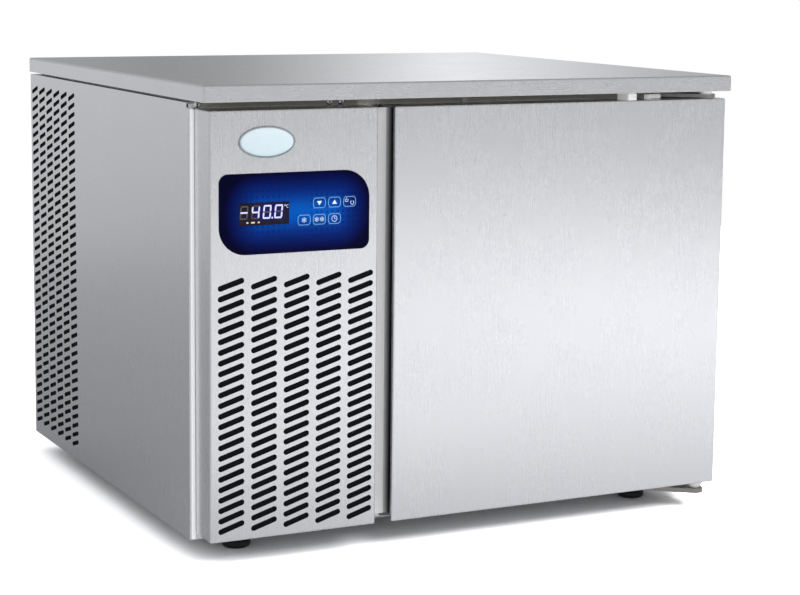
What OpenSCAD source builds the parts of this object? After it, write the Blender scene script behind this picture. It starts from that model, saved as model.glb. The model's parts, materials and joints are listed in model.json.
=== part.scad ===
// Counter-top blast chiller. A folded steel casing holds one insulated chamber behind a
// side-hung door, and a cooling unit behind a louvred control panel on the left.
// Millimetres. The origin is on the floor under the middle of the worktop.
// +X is to the right, +Y to the back and +Z up; the door and controls face -Y.

/* [Overall size] */
// Width of the worktop
worktop_w = 660; // [640:1:720]
// Depth of the worktop
worktop_d = 624; // [610:1:700]
// Height of the worktop's upper face above the floor
total_h = 518; // [505:1:560]
// Height of the casing's underside above the floor
foot_h = 24; // [20:1:34]

/* [Casing] */
// Thickness of the casing's steel sheet
sheet = 1; // [0.8:0.1:1.4]
// Thickness of the worktop's sheet
worktop_t = 1.2; // [0.9:0.1:2]
// Height of the worktop's folded rim
rim_h = 18; // [15:1:30]
// Width of the hem folded in under the rim
hem_w = 12; // [8:1:18]
// Radius of the worktop's outer edges
rim_r = 2.5; // [1.6:0.1:4]
// Inset of the side panels from the worktop's ends
side_inset = 1; // [0.5:0.5:4]
// Inset of the casing's back from the worktop's back
rear_inset = 3; // [2.8:0.1:6]
// Shadow gap between the rim and the side panels
side_gap = 3; // [2:0.5:5]
// Distance of the casing's front behind the worktop's front edge
front_depth = 47; // [46:0.5:56]
// Width of the folds on the side panels' front, back and foot
side_fold = 14; // [10:1:18]
// Width of the fold on the side panels' top
top_fold = 24; // [20:1:30]
// Size of the relief notch in each side panel's upper front corner
notch = 5; // [3:0.5:8]

/* [Louvres] */
// Length of a louvre slot
slot_l = 31; // [26:0.5:34]
// Width of a louvre slot on the control panel
slot_w = 6.2; // [4:0.1:6.8]
// Tilt of the louvre slots, in degrees
slot_tilt = 17; // [0:1:24]
// Spacing of the slots up a column
slot_pitch = 11.4; // [10.5:0.1:14]
// Spacing of the slot columns on the control panel
slot_columns = 37.6; // [36:0.1:42]
// Length of a vent slot in the side and the back
vent_l = 26.5; // [22:0.5:28]
// Width of a vent slot in the side and the back
vent_w = 5.2; // [4:0.1:6.4]
// Spacing of the vent columns in the side and the back
vent_columns = 30.6; // [29:0.1:34]
// Depth of the vented field in the left side
vent_field = 180; // [100:5:240]
// Height of the vented field in the back
back_vent_h = 150; // [100:5:300]
// Distance from the back's top edge to its vents
back_vent_drop = 60; // [40:1:100]
// Bare margin around a field of slots
vent_margin = 16; // [14:1:30]
// Bare margin below the louvres on the control panel
louvre_margin = 12; // [10:1:30]
// Plain band between the louvres and the blue overlay
louvre_band = 27; // [20:1:50]

/* [Control panel and door fronts] */
// Setback of the door and control panel behind the worktop's edge
front_set = 1.5; // [1.2:0.1:2.5]
// Setback of the fronts from the worktop's ends
front_margin = 6.8; // [5:0.1:12]
// Width of the control panel
panel_w = 194.5; // [188:0.5:206]
// Depth of the control panel's folded sides
panel_depth = 42; // [34:0.5:43]
// Finger gap between the control panel and the door
finger_gap = 20; // [18:0.5:26]
// Gap between the rim and the fronts
top_gap = 8.5; // [7.5:0.1:12]
// Rise of the fronts above the casing's underside
bottom_rise = 7; // [6:0.1:10]
// Radius of the fronts' outer edges
front_r = 2; // [1.2:0.1:3]

/* [Door] */
// Thickness of the door's body
door_t = 35; // [30:0.5:36]
// Width of the grip profile at the door's free edge
grip_w = 22; // [18:1:30]
// Radius of the grip's finger scoop
grip_r = 12.5; // [11:0.1:13]
// Distance of the scoop's axis behind the door's front
grip_y = 17; // [16:0.1:18.5]
// Thickness of the grip profile's end caps
cap_t = 3; // [2:0.5:6]
// Width of the gasket's head
gasket_w = 18; // [14:0.5:20]
// Distance from the chamber's edge to the gasket's inner edge
gasket_out = 5.5; // [3:0.5:7]
// Height of the raised plug on the door's inner panel
plug_h = 8; // [5:0.5:10]
// Gap around the plug inside the gasket
plug_gap = 14; // [8:0.5:20]
// Distance of the hinge axis from the door's hinged edge
hinge_in = 20; // [18:0.5:24]
// Distance of the hinge axis behind the door's front
hinge_back = 11; // [10:0.5:13]
// Diameter of the hinge pins
pin_d = 8; // [6:0.5:10]
// Radial play of pins and shafts in their bores
running = 0.05; // [0.02:0.01:0.1]
// Thickness of the upper hinge plate
upper_hinge_t = 4; // [3:0.5:4.5]
// Thickness of the lower hinge plate
lower_hinge_t = 5.5; // [4:0.5:8]
// Length of the hinge plates left of the axis
hinge_l = 54; // [44:1:60]
// Thickness of the upper hinge plate's leg
hinge_leg_t = 2.5; // [2:0.1:3]
// Diameter of the wide end of the lower bush
cone_d = 21; // [18:0.5:22]

/* [Controls] */
// Width of the blue overlay
overlay_w = 173.6; // [166:0.2:180]
// Height of the blue overlay
overlay_h = 85.8; // [78:0.2:96]
// Thickness of the overlay
overlay_t = 0.6; // [0.5:0.05:0.8]
// Distance from the panel's top edge to the overlay
overlay_drop = 66.4; // [58:0.2:80]
// Radius of the overlay's wide corners
overlay_r = 30; // [20:1:36]
// Radius of the overlay's tight corners
overlay_tight_r = 10; // [6:0.5:14]
// Width of the display window
display_w = 57.6; // [50:0.2:62]
// Height of the display window
display_h = 24.2; // [20:0.2:28]
// Distance from the overlay's left edge to the display's middle
display_x = 50.7; // [46:0.1:54]
// Width of a key
key_w = 15.6; // [13:0.1:16]
// Height of a key
key_h = 11.8; // [10:0.1:13]
// Spacing of the keys, both ways
key_pitch = 17.7; // [17.2:0.1:19]
// Distance from the overlay's middle to the first column of keys
key_x = 10; // [6:0.1:14]
// Travel of a key
key_travel = 0.3; // [0.2:0.05:0.3]
// Width of the oval badge
badge_w = 64.6; // [50:0.2:72]
// Height of the oval badge
badge_h = 34.2; // [26:0.2:38]
// Distance from the panel's left edge to the badge's middle
badge_x = 64.6; // [50:0.2:90]
// Distance from the panel's top edge to the badge's middle
badge_drop = 33.9; // [28:0.1:38]

/* [Chamber] */
// How far the door covers the casing on each side of the chamber
side_cover = 45.95; // [41:0.05:48.4]
// How far the door covers the casing above and below the chamber
end_cover = 45.25; // [40.3:0.05:55.2]
// Depth from the frame's face to the chamber's back
chamber_d = 514; // [514:1:524]
// Radius of the chamber's long corners
chamber_r = 12; // [8:0.5:13]
// Thickness of the chamber liner's sheet
liner_t = 1; // [0.8:0.1:1.4]
// Thickness of the insulated wall towards the cooling unit
partition_t = 50; // [44:1:56]
// Width of the plastic frame around the chamber's mouth
break_w = 10; // [8:0.5:12]
// Depth of the plastic frame around the chamber's mouth
break_d = 12; // [8:0.5:16]
// Width of a tray, across the chamber
tray_w = 325; // [318:1:326]
// Depth of a tray, along the chamber
tray_d = 353; // [320:1:354]
// Number of tray levels
levels = 3; // [2:1:4]
// Height of the lowest runner above the chamber's floor
first_level = 40; // [30:1:60]
// Spacing of the tray levels
level_pitch = 100; // [75:1:106]
// Thickness of the runners and uprights
rack_t = 2; // [1.5:0.1:2.2]

/* [Evaporator] */
// Depth of the evaporator's space behind the baffle
evaporator_depth = 130; // [127:1:130]
// Air gap above and below the baffle
baffle_gap = 20; // [15:1:40]
// Diameter of the chamber fan's blades
chamber_fan_d = 170; // [150:1:176]
// Depth of the evaporator coil
evaporator_t = 48; // [40:1:50]
// Free height above the evaporator coil
evaporator_room = 70; // [50:5:130]
// Diameter of the fan guard's wire
wire = 3; // [2:0.2:4]

/* [Cooling unit] */
// Width of the condenser coil's fin block
condenser_w = 152; // [130:1:160]
// Height of the condenser coil
condenser_h = 290; // [250:1:300]
// Depth of the condenser coil
condenser_t = 44; // [36:1:48]
// Depth of the shroud behind the condenser
shroud_d = 30; // [24:1:36]
// Diameter of the condenser fan's blades
condenser_fan_d = 132; // [120:1:140]
// Diameter of both fans' motors
motor_d = 80; // [70:1:90]
// Length of both fans' motors
motor_l = 44; // [36:1:46]
// Diameter of the fan motors' shafts
shaft_d = 6; // [5:0.5:8]
// Diameter of the compressor's can
compressor_d = 150; // [130:1:160]
// Height of the compressor's can
compressor_h = 165; // [150:1:190]
// Distance of the compressor's middle behind the casing's middle
compressor_y = 40; // [20:1:60]
// Height of the compressor's rubber mounts
mount_h = 18; // [14:1:24]
// Outer diameter of the discharge and liquid pipes
pipe_d = 8; // [6:0.5:10]
// Outer diameter of the suction pipe
suction_d = 10; // [8:0.5:12]
// Inner bend radius of the pipes, measured at their centre line
bend_r = 16; // [13:1:20]
// Diameter of the filter drier
drier_d = 22; // [18:1:28]
// Length of the filter drier
drier_l = 100; // [80:1:120]

/* [Hidden] */
$fn = 48;
fit = 0.2;                 // gap left between pieces that are pushed together
seat = 0.3;                // gap between a moving piece and what it rests on
eps = 1;                   // how far a cutter passes the face that it cuts

// Casing
front_y = -worktop_d / 2;
back_y = worktop_d / 2;
rim_z = total_h - rim_h;                       // lower edge of the worktop's rim
case_x = worktop_w / 2 - side_inset;           // outer faces of the side panels
case_y0 = front_y + front_depth;               // front folds of the side panels
case_y1 = back_y - rear_inset;                 // back folds of the side panels
case_z1 = rim_z - side_gap;                    // top of the side panels
floor_z = foot_h + sheet;                      // upper face of the base plate
frame_y = case_y0 + sheet;                     // front face of the front frame
frame_back = frame_y + sheet;
case_span = [case_y0, case_y1];

// Fronts
front_p = front_y + front_set;
front_x = worktop_w / 2 - front_margin;
front_z0 = foot_h + bottom_rise;
front_z1 = rim_z - top_gap;
front_cz = (front_z0 + front_z1) / 2;
front_h = front_z1 - front_z0;
panel_x0 = -front_x;
panel_x1 = panel_x0 + panel_w;
panel_cx = (panel_x0 + panel_x1) / 2;
door_x0 = panel_x1 + finger_gap;
door_x1 = front_x;
door_w = door_x1 - door_x0;
door_cx = (door_x0 + door_x1) / 2;
door_back = front_p + door_t;
grip_x1 = door_x0 + grip_w;
hinge_x = door_x1 - hinge_in;
hinge_y = front_p + hinge_back;
nose_r = hinge_back - 1;                       // round nose of the hinge plates

// Chamber
chamber_w = door_w - 2 * side_cover;
chamber_h = front_h - 2 * end_cover;
chamber_x0 = door_cx - chamber_w / 2;
chamber_x1 = door_cx + chamber_w / 2;
chamber_z0 = front_cz - chamber_h / 2;
chamber_z1 = front_cz + chamber_h / 2;
chamber_y1 = frame_y + chamber_d;
liner_y0 = frame_y + break_d;
foam_x0 = chamber_x0 - partition_t;
foam_x1 = case_x - sheet;
foam_y1 = case_y1 - sheet;
foam_z0 = floor_z + sheet;
foam_z1 = case_z1 - sheet;

// Evaporator
evaporator_h = chamber_h - evaporator_room;
baffle_y = chamber_y1 - evaporator_depth;
strap_w = 26;                                  // width of the straps that carry the motors
strap_t = 2;
strap_l = motor_l + 22;                        // from a fan's plate to its strap
hub_d = 44;
hub_h = 24;
hub_lead = 12;                                 // how far a hub stands in front of its plate
fan_clearance = 5;                             // between blade tips and their ring
evaporator_y0 = baffle_y + sheet + strap_l + strap_t + 4;
evaporator_cy = evaporator_y0 + evaporator_t / 2;
coil_end = 14;                                 // room beside a fin block for its bends
fin_z0 = 12;                                   // height of a fin block above its seat

// Cooling unit
unit_x0 = -(case_x - sheet);
unit_cx = (unit_x0 + foam_x0) / 2;
condenser_y0 = frame_back + 8;
condenser_y1 = condenser_y0 + condenser_t;
condenser_cy = (condenser_y0 + condenser_y1) / 2;
shroud_y1 = condenser_y1 + shroud_d;
shroud_plate = shroud_y1 - sheet;
condenser_fan_z = floor_z + condenser_h / 2;
boss_h = 10;                                   // pipe bosses on the coils
can_z0 = floor_z + mount_h + 3;
can_z1 = can_z0 + compressor_h;
mount_d = 22;                                  // compressor's rubber mounts
mount_neck = 12;
stub_l = 16;                                   // pipe stubs on the compressor
discharge_x = unit_cx - 30;
suction_x = unit_cx + 30;
suction_z = chamber_z0 + 30;                   // the evaporator's lowest tube
drier_x = foam_x0 - drier_d / 2 - 6;
drier_y = case_y1 - 130;
drier_z0 = floor_z + 165;
liquid_z = chamber_z0 + evaporator_h - 30;     // the evaporator's highest tube
pipe_top = max(can_z1, floor_z + condenser_h, drier_z0 + drier_l) + 46;
capillary_d = 5;
capillary_r = 10;
bore_play = 0.6;                               // radial gap of pipes in the insulated wall
evaporator_stub = chamber_x0 + 5;              // ends of the evaporator's pipe bosses
outlet_x = drier_x - 2 * bend_r - 4;           // condenser outlet, on its top
level_step = min(level_pitch, (chamber_h - first_level - 76) / max(1, levels - 1));
condenser_blades_d = min(condenser_fan_d, condenser_w - 20);

// Controls
overlay_x0 = panel_cx - overlay_w / 2;
overlay_z1 = front_z1 - overlay_drop;
overlay_cz = overlay_z1 - overlay_h / 2;
display_cx = overlay_x0 + display_x;
key_y0 = front_p - overlay_t - 0.2;            // front of the keys, just proud of the overlay
key_back = front_p - key_travel - 0.1;
key_hole = 6;
key_stem = 4.6;
board_y = front_p + sheet + 9;                 // front face of the circuit board
board_t = 1.6;
switch_h = 3.5;
// Column and row of each key, counted from the lower left one
KEY_DOWN = [1, 1];
KEY_UP = [2, 1];
KEY_START = [3, 1];
KEY_CHILL = [0, 0];
KEY_FREEZE = [1, 0];
KEY_MODE = [2, 0];
KEYS = [KEY_DOWN, KEY_UP, KEY_START, KEY_CHILL, KEY_FREEZE, KEY_MODE];

// Mains inlet in the rear panel
inlet_size = [27, 20];
inlet_flange = [50, 23];
inlet_at = [unit_cx, floor_z + 34];

// Colours
steel = "gainsboro";
dark_steel = "silver";
white_plastic = "whitesmoke";
grey_plastic = "dimgray";
black_plastic = "#202022";
foam_colour = "khaki";
copper = "peru";
blue = "mediumblue";

// ---------------------------------------------------------------- general shapes

// A box between two x, two y and two z values
module block(x, y, z) {
  translate([x[0], y[0], z[0]]) cube([x[1] - x[0], y[1] - y[0], z[1] - z[0]]);
}

// A 2D outline in X and Z, made t thick towards +Y from y
module upright(y, t) {
  translate([0, y + t, 0]) rotate([90, 0, 0]) linear_extrude(t) children();
}

// A 2D outline in Y and Z, made t thick towards +X from x
module sideways(x, t) {
  translate([x, 0, 0]) rotate([90, 0, 90]) linear_extrude(t) children();
}

module rounded_rect(size, r) {
  square([size.x - 2 * r, size.y], center = true);
  square([size.x, size.y - 2 * r], center = true);
  for (i = [-1, 1], j = [-1, 1])
    translate([i * (size.x / 2 - r), j * (size.y / 2 - r)]) circle(r = r);
}

// Half a ball, standing on its flat side
module dome(r) {
  rotate_extrude() intersection() {
    circle(r = r);
    square([r, r]);
  }
}

// A box whose standing edges and upper edges are rounded
module round_box(size, r) {
  core = [size.x - 2 * r, size.y - 2 * r];
  linear_extrude(size.z - r) rounded_rect(size, r);
  linear_extrude(size.z) square(core, center = true);
  for (s = [-1, 1]) {
    translate([s * core.x / 2, 0, size.z - r]) rotate([90, 0, 0])
      cylinder(r = r, h = core.y, center = true);
    translate([0, s * core.y / 2, size.z - r]) rotate([0, 90, 0])
      cylinder(r = r, h = core.x, center = true);
  }
  for (i = [-1, 1], j = [-1, 1])
    translate([i * core.x / 2, j * core.y / 2, size.z - r]) dome(r);
}

// A folded pan: a rounded box of sheet that is open below
module pan(size, t, r) {
  difference() {
    round_box(size, r);
    translate([0, 0, -eps]) linear_extrude(size.z - t + eps)
      square([size.x - 2 * t, size.y - 2 * t], center = true);
  }
}

// A pan that stands with its closed face at y, centred on cx and cz
module front_pan(cx, cz, y, size, t, r) {
  translate([cx, y + size.z, cz]) rotate([90, 0, 0]) pan(size, t, r);
}

// One slanted slot with round ends
module slot(length, width) {
  rotate(slot_tilt) {
    square([length - width, width], center = true);
    for (s = [-1, 1]) translate([s * (length - width) / 2, 0]) circle(d = width, $fn = 24);
  }
}

// Columns and rows of slots that fill a field, counted from its lower left corner
module slot_field(field, length, width, column_pitch) {
  columns = floor((field.x - length) / column_pitch);
  rows = floor((field.y - width) / slot_pitch);
  start = [(field.x - columns * column_pitch) / 2, (field.y - rows * slot_pitch) / 2];
  for (i = [0:columns], j = [0:rows])
    translate([start.x + i * column_pitch, start.y + j * slot_pitch]) slot(length, width);
}

// A round bar from point a to point b
module rod(a, b, d) {
  v = b - a;
  translate(a) rotate([0, acos(v.z / norm(v)), atan2(v.y, v.x)]) cylinder(d = d, h = norm(v));
}

// A pipe along square-cornered points, with every corner bent to radius r
module pipe(points, d, r) {
  last = len(points) - 1;
  function dir(i) = (points[i + 1] - points[i]) / norm(points[i + 1] - points[i]);
  for (i = [0:last - 1])
    rod(points[i] + dir(i) * (i > 0 ? r : 0), points[i + 1] - dir(i) * (i < last - 1 ? r : 0), d);
  for (i = [1:last - 1]) {
    u = dir(i - 1);
    v = dir(i);
    w = cross(u, v);
    c = points[i] + r * (v - u);
    multmatrix([[-v.x, u.x, w.x, c.x], [-v.y, u.y, w.y, c.y], [-v.z, u.z, w.z, c.z], [0, 0, 0, 1]])
      rotate_extrude(angle = 90) translate([r, 0]) circle(d = d);
  }
}

// A cylinder along Y from y0 to y1
module shaft_y(x, z, y0, y1, d) {
  translate([x, y1, z]) rotate([90, 0, 0]) cylinder(d = d, h = y1 - y0);
}

// A standing cylinder from z0 to z1
module post(x, y, z0, z1, d) {
  translate([x, y, z0]) cylinder(d = d, h = z1 - z0);
}

// ---------------------------------------------------------------- casing

module worktop() {
  color(steel) translate([0, 0, rim_z]) difference() {
    round_box([worktop_w, worktop_d, rim_h], rim_r);
    translate([0, 0, worktop_t]) linear_extrude(rim_h - 2 * worktop_t)
      square([worktop_w - 2 * worktop_t, worktop_d - 2 * worktop_t], center = true);
    translate([0, 0, -eps]) linear_extrude(worktop_t + 2 * eps)
      square([worktop_w - 2 * hem_w, worktop_d - 2 * hem_w], center = true);
  }
}

// Moisture-proof board that stiffens the worktop
module worktop_core() {
  w = worktop_w - 2 * (worktop_t + fit);
  d = worktop_d - 2 * (worktop_t + fit);
  color("burlywood") translate([-w / 2, -d / 2, rim_z + worktop_t])
    cube([w, d, rim_h - 2 * worktop_t]);
}

// Shallow pan on the folds of the casing, which carries the worktop
module roof_panel() {
  x = min(worktop_w / 2 - hem_w - 1, case_x - sheet - 2);
  y0 = frame_back;
  y1 = min(back_y - hem_w - 1, case_y1 - 2);
  h = side_gap + worktop_t;
  color(dark_steel) difference() {
    block([-x, x], [y0, y1], [case_z1, case_z1 + h]);
    block([-x + sheet, x - sheet], [y0 + sheet, y1 - sheet], [case_z1 - eps, case_z1 + h - sheet]);
  }
}

// The folded side panel on the left; the right one is its mirror image
module side_shell(vented) {
  field = [vent_field, case_z1 - floor_z - 2 * vent_margin];
  difference() {
    union() {
      sideways(-case_x, sheet) difference() {
        translate([case_y0, floor_z]) square([case_y1 - case_y0, case_z1 - floor_z]);
        if (vented)
          translate([case_y1 - sheet - 4, floor_z + vent_margin]) mirror([1, 0])
            slot_field(field, vent_l, vent_w, vent_columns);
      }
      for (y = [case_y0, case_y1 - sheet])
        block([-case_x, -case_x + side_fold], [y, y + sheet], [floor_z, case_z1]);
      block([-case_x, -case_x + side_fold], case_span, [floor_z, floor_z + sheet]);
      block([-case_x, -case_x + top_fold], case_span, [case_z1 - sheet, case_z1]);
    }
    block([-case_x - eps, -case_x + notch], [case_y0 - eps, case_y0 + notch],
      [case_z1 - notch, case_z1 + eps]);
    for (z = rear_screw_heights()) shaft_y(-rear_screw_x(), z, case_y1 - 2 * sheet, case_y1 + eps, 4);
  }
}

module side_panel_left() { color(steel) side_shell(true); }

module side_panel_right() { color(steel) mirror([1, 0, 0]) side_shell(false); }

function rear_screw_x() = case_x - side_fold / 2 - 1;
screw_margin = 24;                             // from the corners to the rear panel's screws
function rear_screw_heights() =
  [for (k = [0:3]) floor_z + screw_margin + k * (case_z1 - floor_z - 2 * screw_margin) / 3];

module rear_panel() {
  x = case_x - 2;
  z = [floor_z + 2, case_z1 - 2];
  field = [3 * vent_columns + 4, back_vent_h];
  color(steel) upright(case_y1, sheet) difference() {
    translate([-x, z[0]]) square([2 * x, z[1] - z[0]]);
    translate([foam_x0 - vent_margin - field.x, z[1] - back_vent_drop - field.y])
      slot_field(field, vent_l, vent_w, vent_columns);
    translate(inlet_at) square(inlet_size + [fit, fit], center = true);
    for (s = [-1, 1], h = rear_screw_heights()) translate([s * rear_screw_x(), h]) circle(d = 4);
  }
}

function foot_places() = [for (i = [-1, 1], j = [case_y0 + 38, case_y1 - 95])
  [i * (case_x - 69), j]];
lower_hinge_back = case_y0 + 27;
function lower_screws() = [for (k = [0:2]) [hinge_x - hinge_l + 10 + k * (hinge_l - 8) / 2, case_y0 + 15]];
function compressor_feet() = [for (i = [-1, 1], j = [-1, 1])
  [unit_cx + i * 52, compressor_y + j * (compressor_d / 2 + 12)]];

module base_plate() {
  color(dark_steel) translate([0, 0, foot_h]) linear_extrude(sheet) difference() {
    translate([-case_x, case_y0]) square([2 * case_x, case_y1 - case_y0]);
    for (p = foot_places()) translate(p) circle(d = 8 + 2 * fit);
    for (p = lower_screws()) translate(p) circle(d = 5 + 2 * fit);
    for (p = compressor_feet()) translate(p) circle(d = 6 + 2 * fit);
  }
}

// Face of the casing around the chamber's mouth, with the air opening behind the louvres
module front_frame() {
  mouth = [chamber_w + 2 * (break_w + fit), chamber_h + 2 * (break_w + fit)];
  fold_x = case_x - top_fold - fit;
  color(steel) {
    upright(frame_y, sheet) difference() {
      union() {
        translate([-case_x + sheet, foam_z0]) square([2 * (case_x - sheet), foam_z1 - foam_z0]);
        translate([-case_x + side_fold + fit, floor_z])
          square([2 * (case_x - side_fold - fit), 2 * sheet]);
        translate([-fold_x, foam_z1 - sheet]) square([2 * fold_x, 2 * sheet]);
      }
      translate([door_cx, front_cz]) rounded_rect(mouth, chamber_r + break_w);
      translate([panel_x0 + 26, front_z0 + 8]) square([panel_w - 46, front_h - 40]);
      for (p = upper_screws()) translate(p) circle(d = 4 + 2 * fit);
      translate([0, rail_screw_z]) circle(d = 4 + 2 * fit);
    }
    block([-fold_x, fold_x], [frame_y, frame_y + side_fold], [foam_z1, case_z1]);
  }
}

// ---------------------------------------------------------------- insulated chamber

// The chamber's rounded outline, grown by g on every side
module mouth_outline(g) {
  translate([door_cx, front_cz]) rounded_rect([chamber_w + 2 * g, chamber_h + 2 * g], chamber_r + g);
}

// Foamed walls around the chamber, open at the front
module insulation_shell() {
  color(foam_colour) difference() {
    block([foam_x0, foam_x1], [frame_back, foam_y1], [foam_z0, foam_z1]);
    upright(frame_back - eps, liner_y0 + liner_t + fit - frame_back + eps) mouth_outline(break_w + fit);
    upright(frame_back, chamber_y1 + liner_t + fit - frame_back) mouth_outline(liner_t + fit);
    wall_bores(fit);
  }
}

// Bores for the two pipes through the insulated wall
module wall_bores(extra) {
  rod([foam_x0 - eps, evaporator_cy, suction_z], [chamber_x0 + eps, evaporator_cy, suction_z],
    suction_d + 2 * (bore_play + extra));
  rod([foam_x0 - eps, evaporator_cy, liquid_z], [chamber_x0 + eps, evaporator_cy, liquid_z],
    capillary_d + 2 * (bore_play + extra));
}

// Inner box with round corners and a flange behind the plastic frame
module chamber_liner() {
  color(steel) difference() {
    union() {
      upright(liner_y0, chamber_y1 + liner_t - liner_y0) mouth_outline(liner_t);
      upright(liner_y0, liner_t) mouth_outline(break_w);
    }
    upright(liner_y0 - eps, chamber_y1 - liner_y0 + eps) mouth_outline(0);
    wall_bores(0);
  }
}

// Plastic frame that parts the cold liner from the casing's face
module thermal_break() {
  color(white_plastic) upright(frame_y, break_d) difference() {
    mouth_outline(break_w);
    mouth_outline(0);
  }
}

// Racks: flat uprights on wall studs carry angle runners
stud_base = 1.5;
stud_head = 1.4;
rack_x = chamber_x0 + stud_base + fit;         // outer face of the left rack
ledge_w = 11;
flange_h = 8;
rack_y0 = frame_y + 10;
rack_y1 = rack_y0 + tray_d;
upright_w = 18;
function upright_places() = [rack_y0 + 30, rack_y1 - 60];
function stud_heights() = [chamber_z0 + 26, chamber_z0 + first_level + (levels - 1) * level_step + 44];

module rack_pair() {
  z = stud_heights();
  for (y = upright_places()) difference() {
    block([rack_x, rack_x + rack_t], [y, y + upright_w], [z[0] - 10, z[1] + 10]);
    for (h = z) rod([rack_x - eps, y + upright_w / 2, h],
      [rack_x + rack_t + eps, y + upright_w / 2, h], 6 + 2 * fit);
  }
}

module runners() {
  x = rack_x + rack_t;
  for (k = [0:levels - 1]) {
    top = chamber_z0 + first_level + k * level_step;
    block([x, rack_x + ledge_w], [rack_y0, rack_y1], [top - rack_t, top]);
    block([x, x + rack_t], [rack_y0, rack_y1], [top - flange_h, top]);
  }
}

module other_side() { translate([2 * door_cx, 0, 0]) mirror([1, 0, 0]) children(); }

module rack_uprights() {
  color(dark_steel) {
    rack_pair();
    other_side() rack_pair();
  }
}

module tray_runners_left() { color(dark_steel) runners(); }

module tray_runners_right() { color(dark_steel) other_side() runners(); }

module wall_studs() {
  for (y = upright_places(), h = stud_heights()) {
    base = [chamber_x0, y + upright_w / 2, h];
    neck_end = rack_x + rack_t + fit;
    rod(base, base + [stud_base, 0, 0], 10);
    rod(base, [neck_end, base.y, h], 6);
    rod([neck_end, base.y, h], [neck_end + stud_head, base.y, h], 10);
  }
}

module rack_studs() {
  color(dark_steel) {
    wall_studs();
    other_side() wall_studs();
  }
}

// ---------------------------------------------------------------- fans and coils

// The folded strap that carries a motor behind a plate whose back is at y
module motor_strap(cx, cz, y, reach) {
  z = [cz - strap_w / 2, cz + strap_w / 2];
  for (s = [-1, 1])
    block([cx + s * reach - strap_t / 2, cx + s * reach + strap_t / 2], [y, y + strap_l], z);
  block([cx - reach - strap_t / 2, cx + reach + strap_t / 2], [y + strap_l, y + strap_l + strap_t], z);
}

// A motor whose back stands on the strap behind a plate at y
module fan_motor(cx, cz, y) {
  back = y + strap_l;
  front = back - motor_l;
  color(black_plastic) {
    shaft_y(cx, cz, front, back, motor_d);
    shaft_y(cx, cz, front - 4, front + 1, motor_d * 0.45);
    for (k = [0:11]) translate([cx, 0, cz]) rotate([0, k * 30, 0])
      block([motor_d / 2 - 1, motor_d / 2 + 2], [front + 6, back - 6], [-1, 1]);
  }
  color(dark_steel) shaft_y(cx, cz, y - hub_lead + 2, front, shaft_d);
}

// A hub with five cambered blades; the blades are slices of a thin tube
module fan_blades(cx, cz, y, d) {
  camber_r = d * 0.5;
  blade_t = 1.5;
  chord = d * 0.28;
  color(grey_plastic) translate([cx, y - hub_lead + hub_h, cz]) rotate([90, 0, 0]) difference() {
    union() {
      cylinder(d = hub_d, h = hub_h);
      for (k = [0:4]) rotate(k * 72) intersection() {
        difference() {
          cylinder(d = d, h = hub_h);
          translate([0, 0, -eps]) cylinder(d = hub_d - 4, h = hub_h + 2 * eps);
        }
        translate([0, 0, hub_h / 2]) rotate([32, 0, 0]) translate([0, 0, -camber_r]) intersection() {
          rotate([0, 90, 0]) difference() {
            cylinder(r = camber_r, h = d);
            translate([0, 0, -eps]) cylinder(r = camber_r - blade_t, h = d + 2 * eps);
          }
          translate([0, -chord / 2, 0]) cube([d, chord, camber_r + eps]);
        }
      }
    }
    translate([0, 0, -eps]) cylinder(d = shaft_d + 2 * running, h = hub_h + 2 * eps);
  }
}

// A fin block on two end plates, with return bends outside them. It stands on z0.
module finned_coil(cx, y0, z0, size, fin_pitch, rows) {
  fin_t = 1.2;
  groove = size.y * 0.4;
  fins = floor((size.x - 2 * fin_pitch) / fin_pitch);
  first = cx - fins * fin_pitch / 2;
  bend_pitch = (size.z - 60) / (2 * rows - 1);
  tube_d = 9;
  difference() {
    block([cx - size.x / 2, cx + size.x / 2], [y0, y0 + size.y], [z0 + fin_z0, z0 + size.z - 4]);
    for (k = [0:fins - 1], y = [y0 - eps, y0 + size.y - groove])
      block([first + k * fin_pitch + fin_t, first + (k + 1) * fin_pitch], [y, y + groove + eps],
        [z0, z0 + size.z]);
  }
  for (s = [-1, 1]) block([cx + s * size.x / 2 - 1.5, cx + s * size.x / 2 + 1.5], [y0, y0 + size.y],
    [z0, z0 + size.z]);
  for (k = [1:2 * rows - 1]) {
    s = k % 2 == 1 ? 1 : -1;
    translate([cx + s * (size.x / 2 + 1.5), y0 + size.y / 2, z0 + 30 + (k - 0.5) * bend_pitch])
      rotate([90, 0, s > 0 ? 0 : 180]) rotate([0, 0, -90])
        rotate_extrude(angle = 180) translate([bend_pitch / 2, 0]) circle(d = tube_d, $fn = 24);
  }
}

// Sheet that hides the evaporator and holds the chamber fan
module evaporator_baffle() {
  z = [chamber_z0 + baffle_gap, chamber_z1 - baffle_gap];
  return_d = 15;
  color(steel) {
    upright(baffle_y, sheet) difference() {
      translate([chamber_x0, z[0]]) square([chamber_w, z[1] - z[0]]);
      translate([door_cx, front_cz]) circle(d = chamber_fan_d + 2 * fan_clearance);
    }
    for (x = [chamber_x0, chamber_x1 - sheet])
      block([x, x + sheet], [baffle_y, baffle_y + return_d], z);
    motor_strap(door_cx, front_cz, baffle_y + sheet, chamber_fan_d / 2 + 2 * fan_clearance + 4);
  }
}

module evaporator_coil() {
  w = chamber_w - 2 * (chamber_r + coil_end);
  color("lightsteelblue") {
    finned_coil(door_cx, evaporator_y0, chamber_z0, [w, evaporator_t, evaporator_h], 6, 5);
    for (z = [suction_z, liquid_z])
      rod([evaporator_stub, evaporator_cy, z], [door_cx - w / 2, evaporator_cy, z],
        (z == suction_z ? suction_d : capillary_d) + 3);
  }
}

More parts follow.
